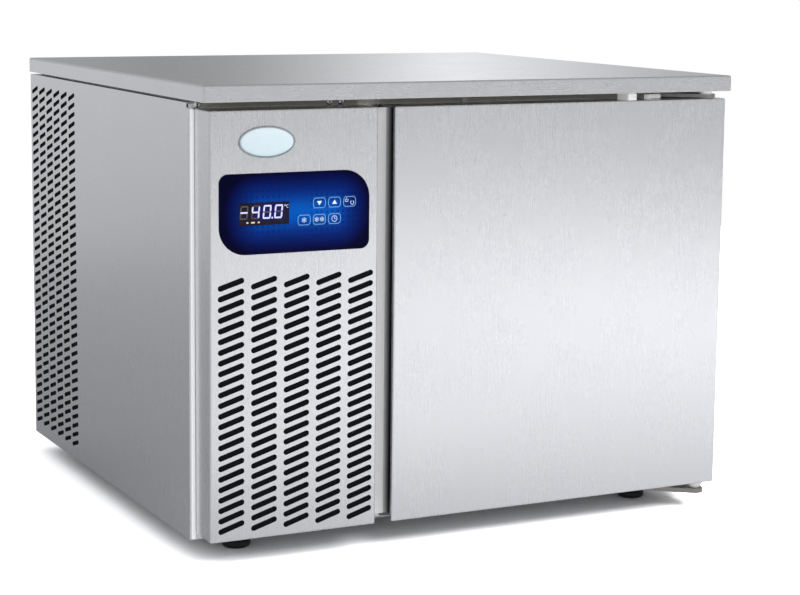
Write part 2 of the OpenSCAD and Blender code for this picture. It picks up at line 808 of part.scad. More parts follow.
// Wire guard: rings welded on two crossed wires, with feet on the baffle
module evaporator_fan_guard() {
  y = baffle_y - hub_lead - 4;
  outer = chamber_fan_d / 2 + fan_clearance + 6;
  rings = 6;
  color(dark_steel) {
    for (k = [1:rings]) translate([door_cx, y, front_cz]) rotate([90, 0, 0])
      rotate_extrude() translate([outer * k / rings, 0]) circle(d = wire, $fn = 24);
    for (a = [45, 135]) translate([door_cx, y + wire * 0.7, front_cz]) rotate([0, a, 0])
      rod([-outer, 0, 0], [outer, 0, 0], wire);
    for (a = [45:90:315])
      shaft_y(door_cx + outer * cos(a), front_cz + outer * sin(a), y, baffle_y, wire * 2);
  }
}

module evaporator_fan_motor() { fan_motor(door_cx, front_cz, baffle_y + sheet); }

module evaporator_fan_blades() { fan_blades(door_cx, front_cz, baffle_y, chamber_fan_d); }

// Temperature probe in its clip on the baffle
module chamber_air_probe() {
  at = [chamber_x0 + 34, chamber_z1 - baffle_gap - 30];
  color(black_plastic)
    block([at.x - 8, at.x + 8], [baffle_y - 8, baffle_y], [at.y - 6, at.y + 6]);
  color(dark_steel) post(at.x, baffle_y - 4, at.y - 26, at.y + 14, 5);
}

// ---------------------------------------------------------------- door

door_lip = 4;                                  // fold of the skin in front of the grip profile

// Folded front of the door, cut back at its free edge for the grip profile
module door_skin() {
  color(steel) difference() {
    front_pan(door_cx, front_cz, front_p, [door_w, front_h, door_t], sheet, front_r);
    block([door_x0 - eps, grip_x1], [front_p + door_lip, door_back + eps], [front_z0 - eps, front_z1 + eps]);
    bush_bores(fit);
  }
}

// Openings in the door's ends for the two hinge bushes
bush_d = pin_d + 8;
bush_l = 16;
module bush_bores(gap) {
  post(hinge_x, hinge_y, front_z0 - eps, front_z0 + bush_l + gap, bush_d + 2 * gap);
  post(hinge_x, hinge_y, front_z1 - bush_l - gap, front_z1 + eps, bush_d + 2 * gap);
}

// Extruded profile with the finger scoop, seen from above
module grip_outline(gap) {
  r = 3;
  difference() {
    union() {
      translate([door_x0 + sheet, front_p + sheet])
        square([grip_w - sheet - gap, door_t - sheet - r]);
      translate([door_x0 + r, door_back - 2 * r]) square([grip_w - r - gap, 2 * r]);
      translate([door_x0, front_p + grip_y]) square([grip_w / 2, door_t - grip_y - r]);
      translate([door_x0 + r, door_back - r]) circle(r = r);
    }
    translate([door_x0 - 1, front_p + grip_y]) circle(r = grip_r);
  }
}

module door_grip() {
  z0 = front_z0 + cap_t;
  color("darkgray") translate([0, 0, z0])
    linear_extrude(front_h - 2 * cap_t) grip_outline(0);
}

module door_end_caps() {
  color(grey_plastic) for (z = [front_z0, front_z1 - cap_t]) translate([0, 0, z])
    linear_extrude(cap_t) difference() {
      grip_outline(fit);
      translate([door_x0 - eps, front_p - eps]) square([grip_w + 2 * eps, door_lip + eps]);
    }
}

module plug_outline(g) {
  size = [chamber_w - 2 * plug_gap, chamber_h - 2 * plug_gap];
  translate([door_cx, front_cz]) rounded_rect(size + [2 * g, 2 * g], chamber_r + g);
}

// Outline of the ring that follows the gasket, from its inner edge to w outside it
module gasket_ring(inset, w) {
  inner = [chamber_w, chamber_h] + [1, 1] * 2 * (gasket_out + inset);
  r = chamber_r;
  translate([door_cx, front_cz]) difference() {
    rounded_rect(inner + [2 * w, 2 * w], r + w);
    rounded_rect(inner, r);
  }
}
dart_w = 3;
dart_h = 6;
dart_in = (gasket_w - dart_w) / 2;
channel_h = dart_h + 1 + sheet;                // depth of the folded channel around the dart

// Foamed core of the door, which also fills the plug
module door_foam() {
  y1 = door_back - sheet;
  color(foam_colour) difference() {
    union() {
      block([grip_x1, door_x1 - sheet], [front_p + sheet, y1], [front_z0 + sheet, front_z1 - sheet]);
      upright(y1, plug_h) plug_outline(-sheet);
    }
    upright(door_back - channel_h, channel_h + eps)
      gasket_ring(dart_in - fit - sheet, dart_w + 2 * (fit + sheet));
    bush_bores(fit);
  }
}

// Inner panel of the door with its raised plug and the channel that holds the gasket
module door_liner() {
  color(steel) difference() {
    union() {
      upright(door_back - sheet, sheet) translate([grip_x1, front_z0 + sheet])
        square([door_x1 - sheet - grip_x1, front_h - 2 * sheet]);
      upright(door_back - channel_h, channel_h)
        gasket_ring(dart_in - fit - sheet, dart_w + 2 * (fit + sheet));
      upright(door_back - sheet, plug_h + sheet) plug_outline(0);
    }
    upright(door_back - sheet - eps, plug_h + eps) plug_outline(-sheet);
    upright(door_back - channel_h + sheet, channel_h) gasket_ring(dart_in - fit, dart_w + 2 * fit);
  }
}

// Push-in magnetic gasket: a dart in the groove, a narrow bellows and a wide head
module door_gasket() {
  depth = frame_y - seat - door_back;
  head = 4;
  base = 2;
  neck_in = gasket_w * 0.2;
  color(black_plastic) {
    upright(door_back - dart_h, dart_h) gasket_ring(dart_in, dart_w);
    upright(door_back, base) gasket_ring(1, gasket_w - 2);
    upright(door_back + base, depth - base - head) gasket_ring(neck_in, gasket_w - 2 * neck_in);
    upright(frame_y - seat - head, head) gasket_ring(0, gasket_w);
  }
}

// Sleeves that turn on the hinge pins; the lower one ends in a cone on its plate
module door_bushes() {
  bore = pin_d + 2 * running;
  color(white_plastic) difference() {
    union() {
      post(hinge_x, hinge_y, front_z0, front_z0 + bush_l, bush_d);
      translate([hinge_x, hinge_y, foot_h + seat])
        cylinder(d1 = pin_d + 4, d2 = min(cone_d, 2 * hinge_back - 1), h = bottom_rise - seat);
      post(hinge_x, hinge_y, front_z1 - bush_l, front_z1 + 1 - seat, bush_d);
    }
    post(hinge_x, hinge_y, foot_h - eps, front_z0 + bush_l + eps, bore);
    post(hinge_x, hinge_y, front_z1 - bush_l - eps, front_z1 + 2 * eps, bore);
  }
}

// White block on the door's top that carries the door switch's magnet
module door_switch_magnet() {
  x = hinge_x - hinge_l - 50;
  r = 1.5;
  color(white_plastic) translate([x, front_p + 20, front_z1]) round_box([12, 24, top_gap - 1], r);
}

// ---------------------------------------------------------------- hinges

upper_z0 = front_z1 + 1;                       // underside of the upper hinge plate
upper_z1 = upper_z0 + min(upper_hinge_t, top_gap - 2.5);
leg_x1 = case_x - side_fold - 1.5;
upper_leg_z = upper_z0 - 15;
rail_screw_z = front_z1 + 1.5;
function upper_screws() = [[hinge_x - hinge_l + 10, upper_z0 - 8], [hinge_x - 16, upper_z0 - 8]];

module hinge_outline(y1, x1) {
  hull() {
    translate([hinge_x, hinge_y]) circle(r = nose_r, $fn = 48);
    translate([hinge_x - hinge_l, frame_y - 6]) square([x1 - hinge_x + hinge_l, 6]);
  }
  translate([hinge_x - hinge_l, frame_y - 1]) square([x1 - hinge_x + hinge_l, y1 - frame_y + 1]);
}

module hinge_plate_top() {
  color(dark_steel) difference() {
    union() {
      translate([0, 0, upper_z0]) linear_extrude(upper_z1 - upper_z0)
        hinge_outline(frame_y, leg_x1);
      block([hinge_x - hinge_l, leg_x1], [frame_y - hinge_leg_t, frame_y], [upper_leg_z, upper_z1]);
    }
    post(hinge_x, hinge_y, upper_z0 - eps, upper_z1 + eps, pin_d + 2 * running);
    for (p = upper_screws())
      shaft_y(p.x, p.y, frame_y - hinge_leg_t - eps, frame_y + eps, 4 + 2 * fit);
  }
}

module hinge_plate_bottom() {
  color(dark_steel) difference() {
    translate([0, 0, foot_h - lower_hinge_t]) linear_extrude(lower_hinge_t)
      hinge_outline(lower_hinge_back, hinge_x + 12);
    post(hinge_x, hinge_y, foot_h - lower_hinge_t - eps, foot_h + eps, pin_d + 2 * running);
    for (p = lower_screws())
      post(p.x, p.y, foot_h - lower_hinge_t - eps, foot_h + eps, 5 + 2 * fit);
  }
}

module hinge_pins() {
  color(white_plastic) {
    post(hinge_x, hinge_y, front_z1 - bush_l + 2, rim_z - 0.5, pin_d);
    post(hinge_x, hinge_y, upper_z1, rim_z - 0.5, pin_d + 5);
    post(hinge_x, hinge_y, foot_h - lower_hinge_t, front_z0 + bush_l - 2, pin_d);
  }
}

module hinge_screws() {
  color(dark_steel) {
    for (p = upper_screws()) {
      shaft_y(p.x, p.y, frame_y - hinge_leg_t, frame_back, 4);
      shaft_y(p.x, p.y, frame_y - hinge_leg_t - 1.6, frame_y - hinge_leg_t, 7.5);
    }
    for (p = lower_screws()) {
      post(p.x, p.y, foot_h - lower_hinge_t, floor_z, 5);
      post(p.x, p.y, foot_h - lower_hinge_t - 3, foot_h - lower_hinge_t, 9.5);
    }
  }
}

// Roller on the door's top, beside the upper hinge plate
module door_closer_roller() {
  x1 = hinge_x - hinge_l - 4;
  d = top_gap - 3.5;
  z = front_z1 + d / 2 + seat;
  y = front_p + 22;
  color(white_plastic) {
    block([x1 - 19, x1 - 16], [y - 3.5, y + 3.5], [front_z1, z + 2]);
    rod([x1 - 16, y, z], [x1 - 13, y, z], 3);
    rod([x1 - 13, y, z], [x1, y, z], d);
  }
}

// ---------------------------------------------------------------- controls

function key_place(k) = [panel_cx + key_x + k.x * key_pitch, overlay_cz + (k.y - 0.5) * key_pitch];
function board_posts() = [for (i = [-1, 1], j = [-1, 1])
  [panel_cx + i * (overlay_w / 2 - 12), overlay_cz + j * (overlay_h / 2 - 12)]];

// Folded panel with the louvres, the openings for display and keys, and the board's posts
module control_panel() {
  z0 = front_z0 + louvre_margin;
  field = [panel_w - 6, overlay_z1 - overlay_h - louvre_band - z0];
  color(steel) {
    difference() {
      front_pan(panel_cx, front_cz, front_p, [panel_w, front_h, panel_depth], sheet, front_r);
      upright(front_p - eps, sheet + 2 * eps) {
        translate([panel_x0 + 5, z0]) slot_field(field, slot_l, slot_w, slot_columns);
        translate([display_cx, overlay_cz]) square([display_w, display_h], center = true);
        for (k = KEYS) translate(key_place(k)) circle(d = key_hole, $fn = 24);
      }
    }
    for (p = board_posts()) shaft_y(p.x, p.y, front_p + sheet, board_y, 6);
  }
}

// Angle brackets on the frame that the panel's folds slide over
module panel_brackets() {
  leg = frame_y - front_p - sheet - 8;
  w = 20;
  t = 2;
  color(dark_steel) for (x = [-case_x + side_fold + 1, panel_x1 - sheet - 1 - w]) {
    for (z = [front_z0 + sheet, front_z1 - sheet - t]) {
      block([x, x + w], [frame_y - leg, frame_y], [z, z + t]);
    }
    block([x, x + w], [frame_y - t, frame_y], [front_z0 + sheet, front_z0 + sheet + 7]);
    block([x, x + w], [frame_y - t, frame_y], [front_z1 - sheet - 14, front_z1 - sheet]);
  }
}

// A centred rectangle whose corners have their own radii: [[direction, radius], ...]
module own_corners(half, corners) {
  difference() {
    square(2 * half, center = true);
    for (c = corners)
      translate([c[0].x * (half.x - c[1] / 2 + eps / 2), c[0].y * (half.y - c[1] / 2 + eps / 2)])
        square((c[1] + eps) * [1, 1], center = true);
  }
  for (c = corners) translate([c[0].x * (half.x - c[1]), c[0].y * (half.y - c[1])]) circle(r = c[1]);
}

// Blue film with two wide and two tight corners
module control_overlay() {
  corners = [[[1, 1], overlay_r], [[-1, -1], overlay_r], [[-1, 1], overlay_tight_r],
    [[1, -1], overlay_tight_r]];
  color(blue) upright(front_p - overlay_t, overlay_t) difference() {
    translate([panel_cx, overlay_cz]) own_corners([overlay_w, overlay_h] / 2, corners);
    translate([display_cx, overlay_cz]) square([display_w, display_h], center = true);
    for (k = KEYS) translate(key_place(k)) rounded_rect([key_w, key_h] + [2 * fit, 2 * fit], 3);
  }
}

module display_window() {
  color("#101828") upright(front_p - overlay_t, overlay_t + sheet)
    translate([display_cx, overlay_cz])
      square([display_w - 2 * fit, display_h - 2 * fit], center = true);
}

// Circuit board with the display module, the key switches and a connector
module control_board() {
  margin = 5;
  color("darkgreen") upright(board_y, board_t) translate([panel_cx, overlay_cz])
    square([overlay_w - 2 * margin, overlay_h - 2 * margin], center = true);
  color(black_plastic) {
    block([display_cx - display_w / 2 + 2, display_cx + display_w / 2 - 2], [front_p + sheet, board_y],
      [overlay_cz - display_h / 2 + 2, overlay_cz + display_h / 2 - 2]);
    for (k = KEYS) {
      p = key_place(k);
      block([p.x - 3, p.x + 3], [board_y - switch_h, board_y], [p.y - 3, p.y + 3]);
    }
    block([panel_cx - 30, panel_cx + 30], [board_y + board_t, board_y + board_t + 9],
      [overlay_cz - 26, overlay_cz - 14]);
  }
}

// A key cap in the overlay, with a stem that reaches its switch
module key(place) {
  p = key_place(place);
  color(blue) {
    upright(key_y0, key_back - key_y0) translate(p) rounded_rect([key_w, key_h], 3 - fit);
    shaft_y(p.x, p.y, key_back, board_y - switch_h - key_travel - 0.1, key_stem);
  }
}

module key_down() { key(KEY_DOWN); }
module key_up() { key(KEY_UP); }
module key_start_stop() { key(KEY_START); }
module key_chill() { key(KEY_CHILL); }
module key_freeze() { key(KEY_FREEZE); }
module key_mode() { key(KEY_MODE); }

// Bare oval plate with a raised rim
module badge_plate() {
  rim_w = 2;
  face = 0.6 * front_set;
  at = [panel_x0 + badge_x, front_z1 - badge_drop];
  color("lightcyan") {
    upright(front_p - face, face) translate(at) scale([1, badge_h / badge_w]) circle(d = badge_w - 0.2);
    upright(front_p - front_set, front_set) translate(at) difference() {
      scale([1, badge_h / badge_w]) circle(d = badge_w);
      scale([1, (badge_h - 2 * rim_w) / (badge_w - 2 * rim_w)]) circle(d = badge_w - 2 * rim_w);
    }
  }
}

// ---------------------------------------------------------------- cooling unit

module condenser_coil() {
  color(black_plastic) {
    finned_coil(unit_cx, condenser_y0, floor_z, [condenser_w, condenser_t, condenser_h], 5, 5);
    for (x = [discharge_x, outlet_x])
      post(x, condenser_cy, floor_z + condenser_h - 6, floor_z + condenser_h + boss_h, pipe_d + 4);
  }
}

// Duct from the coil to its fan, with the strap for the motor
module condenser_shroud() {
  w = condenser_w / 2;
  z1 = floor_z + condenser_h;
  color(black_plastic) {
    difference() {
      block([unit_cx - w, unit_cx + w], [condenser_y1, shroud_y1], [floor_z, z1]);
      block([unit_cx - w + sheet, unit_cx + w - sheet], [condenser_y1 - eps, shroud_plate],
        [floor_z + sheet, z1 - sheet]);
      shaft_y(unit_cx, condenser_fan_z, shroud_plate - eps, shroud_y1 + eps,
        condenser_blades_d + 2 * fan_clearance);
    }
    motor_strap(unit_cx, condenser_fan_z, shroud_y1, w - 3);
  }
}

module condenser_fan_motor() { fan_motor(unit_cx, condenser_fan_z, shroud_y1); }

module condenser_fan_blades() {
  fan_blades(unit_cx, condenser_fan_z, shroud_plate, condenser_blades_d);
}

// Hermetic can on its foot plate, with pipe stubs and a terminal cover
terminal_box = [24, 48, 50];
terminal_up = 20;

module compressor() {
  r = compressor_d / 2;
  crown = 34;
  plate = [118, compressor_d + 46];
  color(black_plastic) {
    translate([unit_cx, compressor_y, can_z0]) rotate_extrude() difference() {
      union() {
        square([r - crown, compressor_h]);
        square([r, compressor_h - crown]);
        translate([r - crown, compressor_h - crown]) circle(r = crown);
        translate([0, compressor_h * 0.55]) square([r + 3, 4]);
      }
      translate([-2 * r, -eps]) square([2 * r, compressor_h + 2 * eps]);
    }
    difference() {
      translate([unit_cx, compressor_y, can_z0 - 3]) linear_extrude(3) rounded_rect(plate, 14);
      for (p = compressor_feet()) post(p.x, p.y, can_z0 - 4, can_z0 + 1, 12 + 2 * fit);
    }
    block([unit_cx - r - terminal_box.x, unit_cx - r * 0.6],
      [compressor_y - terminal_box.y / 2, compressor_y + terminal_box.y / 2],
      [can_z0 + terminal_up, can_z0 + terminal_up + terminal_box.z]);
  }
  color(copper) {
    post(discharge_x, compressor_y, can_z1 - crown, can_z1 + stub_l, pipe_d + 3);
    shaft_y(suction_x, suction_z, compressor_y + r * 0.7, compressor_y + r + stub_l, suction_d + 3);
  }
}

// Rubber bushes that the compressor stands on
module compressor_mounts() {
  color(black_plastic) for (p = compressor_feet()) {
    post(p.x, p.y, floor_z, floor_z + mount_h, mount_d);
    post(p.x, p.y, floor_z, floor_z + mount_h + 6, mount_neck);
    post(p.x, p.y, floor_z + mount_h + 3 + fit, floor_z + mount_h + 7, mount_d - 2);
    post(p.x, p.y, foot_h, floor_z, mount_neck / 2);
  }
}

// Copper capsule held by a clip on the insulated wall
module filter_drier() {
  taper = 14;
  color(copper) translate([drier_x, drier_y, drier_z0]) rotate_extrude() polygon([
    [0, 0], [pipe_d / 2 + 1, 0], [drier_d / 2, taper], [drier_d / 2, drier_l - taper],
    [pipe_d / 2 + 1, drier_l], [0, drier_l]
  ]);
  color(dark_steel) difference() {
    block([drier_x - drier_d / 2 - 2, foam_x0], [drier_y - drier_d / 2 - 2, drier_y + drier_d / 2 + 2],
      [drier_z0 + drier_l / 2 - 6, drier_z0 + drier_l / 2 + 6]);
    post(drier_x, drier_y, drier_z0, drier_z0 + drier_l, drier_d - 0.1);
  }
}

module discharge_pipe() {
  color(copper) pipe([[discharge_x, compressor_y, can_z1 + stub_l],
    [discharge_x, compressor_y, pipe_top], [discharge_x, condenser_cy, pipe_top],
    [discharge_x, condenser_cy, floor_z + condenser_h + boss_h]], pipe_d, bend_r);
}

// From the condenser to the drier, and on as the capillary to the evaporator
module liquid_pipe() {
  color(copper) {
    pipe([[outlet_x, condenser_cy, floor_z + condenser_h + boss_h], [outlet_x, condenser_cy, pipe_top],
      [outlet_x, drier_y, pipe_top], [drier_x, drier_y, pipe_top],
      [drier_x, drier_y, drier_z0 + drier_l]], pipe_d, bend_r);
    pipe([[drier_x, drier_y, drier_z0], [drier_x, drier_y, drier_z0 - 30],
      [drier_x, evaporator_cy, drier_z0 - 30], [drier_x, evaporator_cy, liquid_z],
      [evaporator_stub, evaporator_cy, liquid_z]], capillary_d, capillary_r);
  }
}

module suction_pipe() {
  color(copper) pipe([[evaporator_stub, evaporator_cy, suction_z], [suction_x, evaporator_cy, suction_z],
    [suction_x, compressor_y + compressor_d / 2 + stub_l, suction_z]], suction_d, bend_r);
}

// Closed box for relays and capacitors on the insulated wall
module electrical_box() {
  d = 56;
  z = [pipe_top + pipe_d, foam_z1 - 6];
  y = [condenser_y1 + 12, compressor_y + 30];
  color("lightgray") {
    block([foam_x0 - d, foam_x0], y, z);
    block([foam_x0 - d - 3, foam_x0 - d], [y[0] - 1.5, y[1] + 1.5], [z[0] - 1.5, z[1] + 1.5]);
  }
}

// Recessed plug inlet with its three blades
module mains_inlet() {
  y1 = case_y1 + sheet + 1.5;
  depth = 20;
  wall = 1.8;
  color(black_plastic) {
    difference() {
      union() {
        upright(case_y1 + sheet, 1.5) translate(inlet_at) rounded_rect(inlet_flange, 3);
        upright(y1 - depth, depth) translate(inlet_at) square(inlet_size, center = true);
      }
      upright(y1 - depth + 3, depth) translate(inlet_at)
        square(inlet_size - [2 * wall, 2 * wall], center = true);
    }
  }
  color(dark_steel) for (k = [-1:1])
    block([inlet_at.x + 7 * k - 1, inlet_at.x + 7 * k + 1], [y1 - depth + 3, y1 - 4],
      [inlet_at.y - 6.5 + (k == 0 ? 0 : 2), inlet_at.y - 2.5 + (k == 0 ? 0 : 2)]);
}

// ---------------------------------------------------------------- feet and screws

module foot(p) {
  h = foot_h;
  translate(p) {
    rotate_extrude() polygon([[0, 0], [12, 0], [14.5, 1.2], [16, 3.5], [16, 7], [12, 11], [9, 13],
      [9, h], [4, h], [4, h + sheet], [0, h + sheet]]);
  }
}

module feet() { color(black_plastic) for (p = foot_places()) foot(p); }

module casing_screws() {
  color(dark_steel) {
    for (s = [-1, 1], z = rear_screw_heights()) {
      shaft_y(s * rear_screw_x(), z, case_y1 - sheet, case_y1 + sheet, 4 - 2 * fit);
      shaft_y(s * rear_screw_x(), z, case_y1 + sheet, case_y1 + sheet + 1.6, 8);
    }
    shaft_y(0, rail_screw_z, frame_y, frame_back, 4);
    shaft_y(0, rail_screw_z, frame_y - 1.6, frame_y, 7);
  }
}

// ---------------------------------------------------------------- assembly

worktop();
worktop_core();
roof_panel();
side_panel_left();
side_panel_right();
rear_panel();
base_plate();
front_frame();
insulation_shell();
chamber_liner();
thermal_break();
rack_uprights();
tray_runners_left();
tray_runners_right();
rack_studs();
evaporator_baffle();
evaporator_coil();
evaporator_fan_guard();
evaporator_fan_motor();
evaporator_fan_blades();
chamber_air_probe();
door_skin();
door_foam();
door_liner();
door_grip();
door_gasket();
door_end_caps();
door_bushes();
door_switch_magnet();
hinge_plate_top();
hinge_plate_bottom();
hinge_pins();
hinge_screws();
door_closer_roller();
control_panel();
panel_brackets();
control_overlay();
display_window();
control_board();
badge_plate();
key_down();
key_up();
key_start_stop();
key_chill();
key_freeze();
key_mode();
condenser_coil();
condenser_shroud();
condenser_fan_motor();
condenser_fan_blades();
compressor();
compressor_mounts();
filter_drier();
discharge_pipe();
liquid_pipe();
suction_pipe();
electrical_box();
mains_inlet();
feet();
casing_screws();
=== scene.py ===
"""Looks of the counter-top blast chiller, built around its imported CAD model."""

import json
import math

import bmesh
import bpy
from mathutils import Matrix, Vector


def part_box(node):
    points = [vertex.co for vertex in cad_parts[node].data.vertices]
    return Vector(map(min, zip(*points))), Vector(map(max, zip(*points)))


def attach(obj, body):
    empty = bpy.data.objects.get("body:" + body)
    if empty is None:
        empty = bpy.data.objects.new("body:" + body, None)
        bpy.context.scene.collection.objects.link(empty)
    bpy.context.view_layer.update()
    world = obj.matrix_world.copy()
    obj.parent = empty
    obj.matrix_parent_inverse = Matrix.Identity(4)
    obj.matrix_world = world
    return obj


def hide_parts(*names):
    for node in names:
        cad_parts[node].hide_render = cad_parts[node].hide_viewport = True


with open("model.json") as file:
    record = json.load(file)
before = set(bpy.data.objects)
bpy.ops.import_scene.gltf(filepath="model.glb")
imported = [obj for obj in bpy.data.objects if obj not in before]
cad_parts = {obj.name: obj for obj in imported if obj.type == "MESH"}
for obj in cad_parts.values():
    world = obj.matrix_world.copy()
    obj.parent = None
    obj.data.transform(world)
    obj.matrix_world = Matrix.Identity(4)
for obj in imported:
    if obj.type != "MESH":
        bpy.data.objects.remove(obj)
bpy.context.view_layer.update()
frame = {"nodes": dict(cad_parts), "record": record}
nodes = frame["nodes"]
scene = bpy.context.scene


# ---------------------------------------------------------------- camera

PHOTO_WIDTH = 800.0         # pixels
FOCAL_LENGTH = 2048.3       # pixels
SENSOR_WIDTH = 36.0         # millimetres


def make_camera():
    """A pinhole camera with a small shift, fitted to the corners that the photograph shows."""
    place = Vector((-1.092044, -2.285848, 0.646077))
    yaw, pitch, roll = (math.radians(a) for a in (26.637, 8.224, 0.584))
    ahead = Vector((math.sin(yaw) * math.cos(pitch), math.cos(yaw) * math.cos(pitch), -math.sin(pitch)))
    flat = Vector((math.cos(yaw), -math.sin(yaw), 0.0))
    above = flat.cross(ahead)
    right = flat * math.cos(roll) + above * math.sin(roll)
    up = above * math.cos(roll) - flat * math.sin(roll)
    data = bpy.data.cameras.new("camera")
    data.sensor_width = SENSOR_WIDTH
    data.lens = FOCAL_LENGTH / PHOTO_WIDTH * SENSOR_WIDTH
    data.shift_y = -0.05
    data.clip_start, data.clip_end = 0.05, 100.0
    cam = bpy.data.objects.new("camera", data)
    cam.matrix_world = Matrix((
        (right.x, up.x, -ahead.x, place.x), (right.y, up.y, -ahead.y, place.y),
        (right.z, up.z, -ahead.z, place.z), (0, 0, 0, 1)))
    scene.collection.objects.link(cam)
    scene.camera = cam


make_camera()
scene.view_settings.view_transform = "Standard"


# ---------------------------------------------------------------- shader graphs

class Graph:
    """Adds shader nodes to a material and joins them."""

    def __init__(self, name, tree=None):
        self.mat = None
        if tree is None:
            self.mat = bpy.data.materials.new(name)
            self.mat.use_nodes = True
            tree = self.mat.node_tree
        self.tree = tree
        tree.nodes.clear()
        if self.mat:
            self.out = self.add("ShaderNodeOutputMaterial")
            self.bsdf = self.add("ShaderNodeBsdfPrincipled")
            self.join(self.bsdf.outputs[0], self.out.inputs[0])
            self.coord = self.add("ShaderNodeTexCoord").outputs["Object"]

    def add(self, kind, **props):
        """A new node with some of its settings."""
        node = self.tree.nodes.new(kind)
        for key, value in props.items():
            setattr(node, key, value)
        return node

    def join(self, a, b):
        self.tree.links.new(a, b)

    def put(self, socket, value):
        """Joins a socket to another, or gives it a plain value."""
        if isinstance(value, bpy.types.NodeSocket):
            self.join(value, socket)
        else:
            socket.default_value = value

    def bs(self, **values):
        """Fills inputs of the main shader, named with underscores for spaces."""
        for key, value in values.items():
            self.put(self.bsdf.inputs[key.replace("_", " ")], value)

    def math(self, op, a, b=0.0, clamp=False):
        n = self.add("ShaderNodeMath", operation=op, use_clamp=clamp)
        self.put(n.inputs[0], a)
        self.put(n.inputs[1], b)
        return n.outputs[0]

    def axes(self, source=None):
        """The X, Y and Z of a vector, which is the place on the object if none is given."""
        n = self.add("ShaderNodeSeparateXYZ")
        self.join(self.coord if source is None else source, n.inputs[0])
        return n.outputs

    def scaled(self, scale, rotation=(0, 0, 0)):
        n = self.add("ShaderNodeMapping")
        self.join(self.coord, n.inputs["Vector"])
        n.inputs["Scale"].default_value = scale
        n.inputs["Rotation"].default_value = rotation
        return n.outputs[0]

    def noise(self, scale, detail, rough=0.5):
        """Noise with one scale, or with one per axis."""
        n = self.add("ShaderNodeTexNoise")
        if isinstance(scale, tuple):
            self.join(self.scaled(scale), n.inputs["Vector"])
            n.inputs["Scale"].default_value = 1.0
        else:
            self.join(self.coord, n.inputs["Vector"])
            n.inputs["Scale"].default_value = scale
        n.inputs["Detail"].default_value = detail
        n.inputs["Roughness"].default_value = rough
        return n.outputs["Fac"]

    def cells(self, scale):
        """Distance to the middle of the nearest of many small cells."""
        n = self.add("ShaderNodeTexVoronoi", feature="F1")
        self.join(self.coord, n.inputs["Vector"])
        n.inputs["Scale"].default_value = scale
        return n.outputs["Distance"]

    def vector(self, op, a, b=None):
        n = self.add("ShaderNodeVectorMath", operation=op)
        self.join(a, n.inputs[0])
        if b is not None:
            self.put(n.inputs[1], b)
        return n

    def ramp(self, value, steps):
        """Colour ramp through steps of place, red, green and blue."""
        n = self.add("ShaderNodeValToRGB")
        e = n.color_ramp.elements
        e[0].position, e[1].position = steps[0][0], steps[-1][0]
        e[0].color, e[1].color = (*steps[0][1:], 1), (*steps[-1][1:], 1)
        for place, *colour in steps[1:-1]:
            e.new(place).color = (*colour, 1)
        self.join(value, n.inputs[0])
        return n.outputs[0]

    def remap(self, value, low, high, to_low, to_high):
        n = self.add("ShaderNodeMapRange")
        self.put(n.inputs["Value"], value)
        for key, v in (("From Min", low), ("From Max", high), ("To Min", to_low), ("To Max", to_high)):
            self.put(n.inputs[key], v)
        return n.outputs[0]

    def mix(self, factor, a, b, blend="MIX"):
        n = self.add("ShaderNodeMix", data_type="RGBA", blend_type=blend)
        self.put(n.inputs[0], factor)
        self.put(n.inputs[6], a if isinstance(a, bpy.types.NodeSocket) else (*a[:3], 1.0))
        self.put(n.inputs[7], b if isinstance(b, bpy.types.NodeSocket) else (*b[:3], 1.0))
        return n.outputs[2]

    def bump(self, height, distance, strength, after=None):
        n = self.add("ShaderNodeBump")
        self.put(n.inputs["Height"], height)
        n.inputs["Distance"].default_value = distance
        n.inputs["Strength"].default_value = strength
        if after is not None:
            self.join(after, n.inputs["Normal"])
        return n.outputs[0]

    def edges(self, radius):
        """1 along the convex and concave edges, 0 on the flats."""
        bevel = self.add("ShaderNodeBevel", samples=4)
        bevel.inputs["Radius"].default_value = radius
        normal = self.add("ShaderNodeNewGeometry").outputs["Normal"]
        dot = self.vector("DOT_PRODUCT", bevel.outputs[0], normal)
        return self.remap(dot.outputs["Value"], 0.995, 0.85, 0.0, 1.0)


def tone(colour, k):
    """The colour made k times as bright, up to white."""
    return tuple(min(1.0, c * k) for c in colour[:3])


def brushed(name, colour, rough, grain, depth=1.0, wave=0.00014):
    """Brushed sheet: fine streaks along the grain, slow clouding, and paler worn edges."""
    g = Graph(name)
    streak = 0.009              # share by which the streaks are paler or darker
    fine_streaks = g.noise(tuple(7.0 if a == grain else 1500.0 for a in "XYZ"), 3.0)
    broad_streaks = g.noise(tuple(2.5 if a == grain else 160.0 for a in "XYZ"), 3.0)
    clouds = g.noise(5.5, 4.0)
    smears = g.noise(17.0, 5.0, rough=0.62)
    c = g.mix(g.remap(fine_streaks, 0.3, 0.7, 0, 1), tone(colour, 1 - streak),
              tone(colour, 1 + streak))
    c = g.mix(g.remap(broad_streaks, 0.3, 0.7, 0, 0.2), c, tone(colour, 0.975))
    c = g.mix(g.remap(clouds, 0.35, 0.65, 0, 0.2), c, tone(colour, 0.975))
    worn = g.edges(0.0012)
    r = g.remap(fine_streaks, 0.25, 0.75, rough - 0.01, rough + 0.01)
    r = g.math("ADD", r, g.remap(smears, 0.35, 0.7, -0.008, 0.012))
    g.bs(Base_Color=g.mix(g.math("MULTIPLY", worn, 0.3), c, tone(colour, 1.08)), Metallic=1.0,
         Roughness=g.math("ADD", r, g.math("MULTIPLY", worn, -0.02), True),
         Normal=g.bump(clouds, wave, 0.10, after=g.bump(fine_streaks, 0.00003 * depth, 0.025)))
    return g.mat


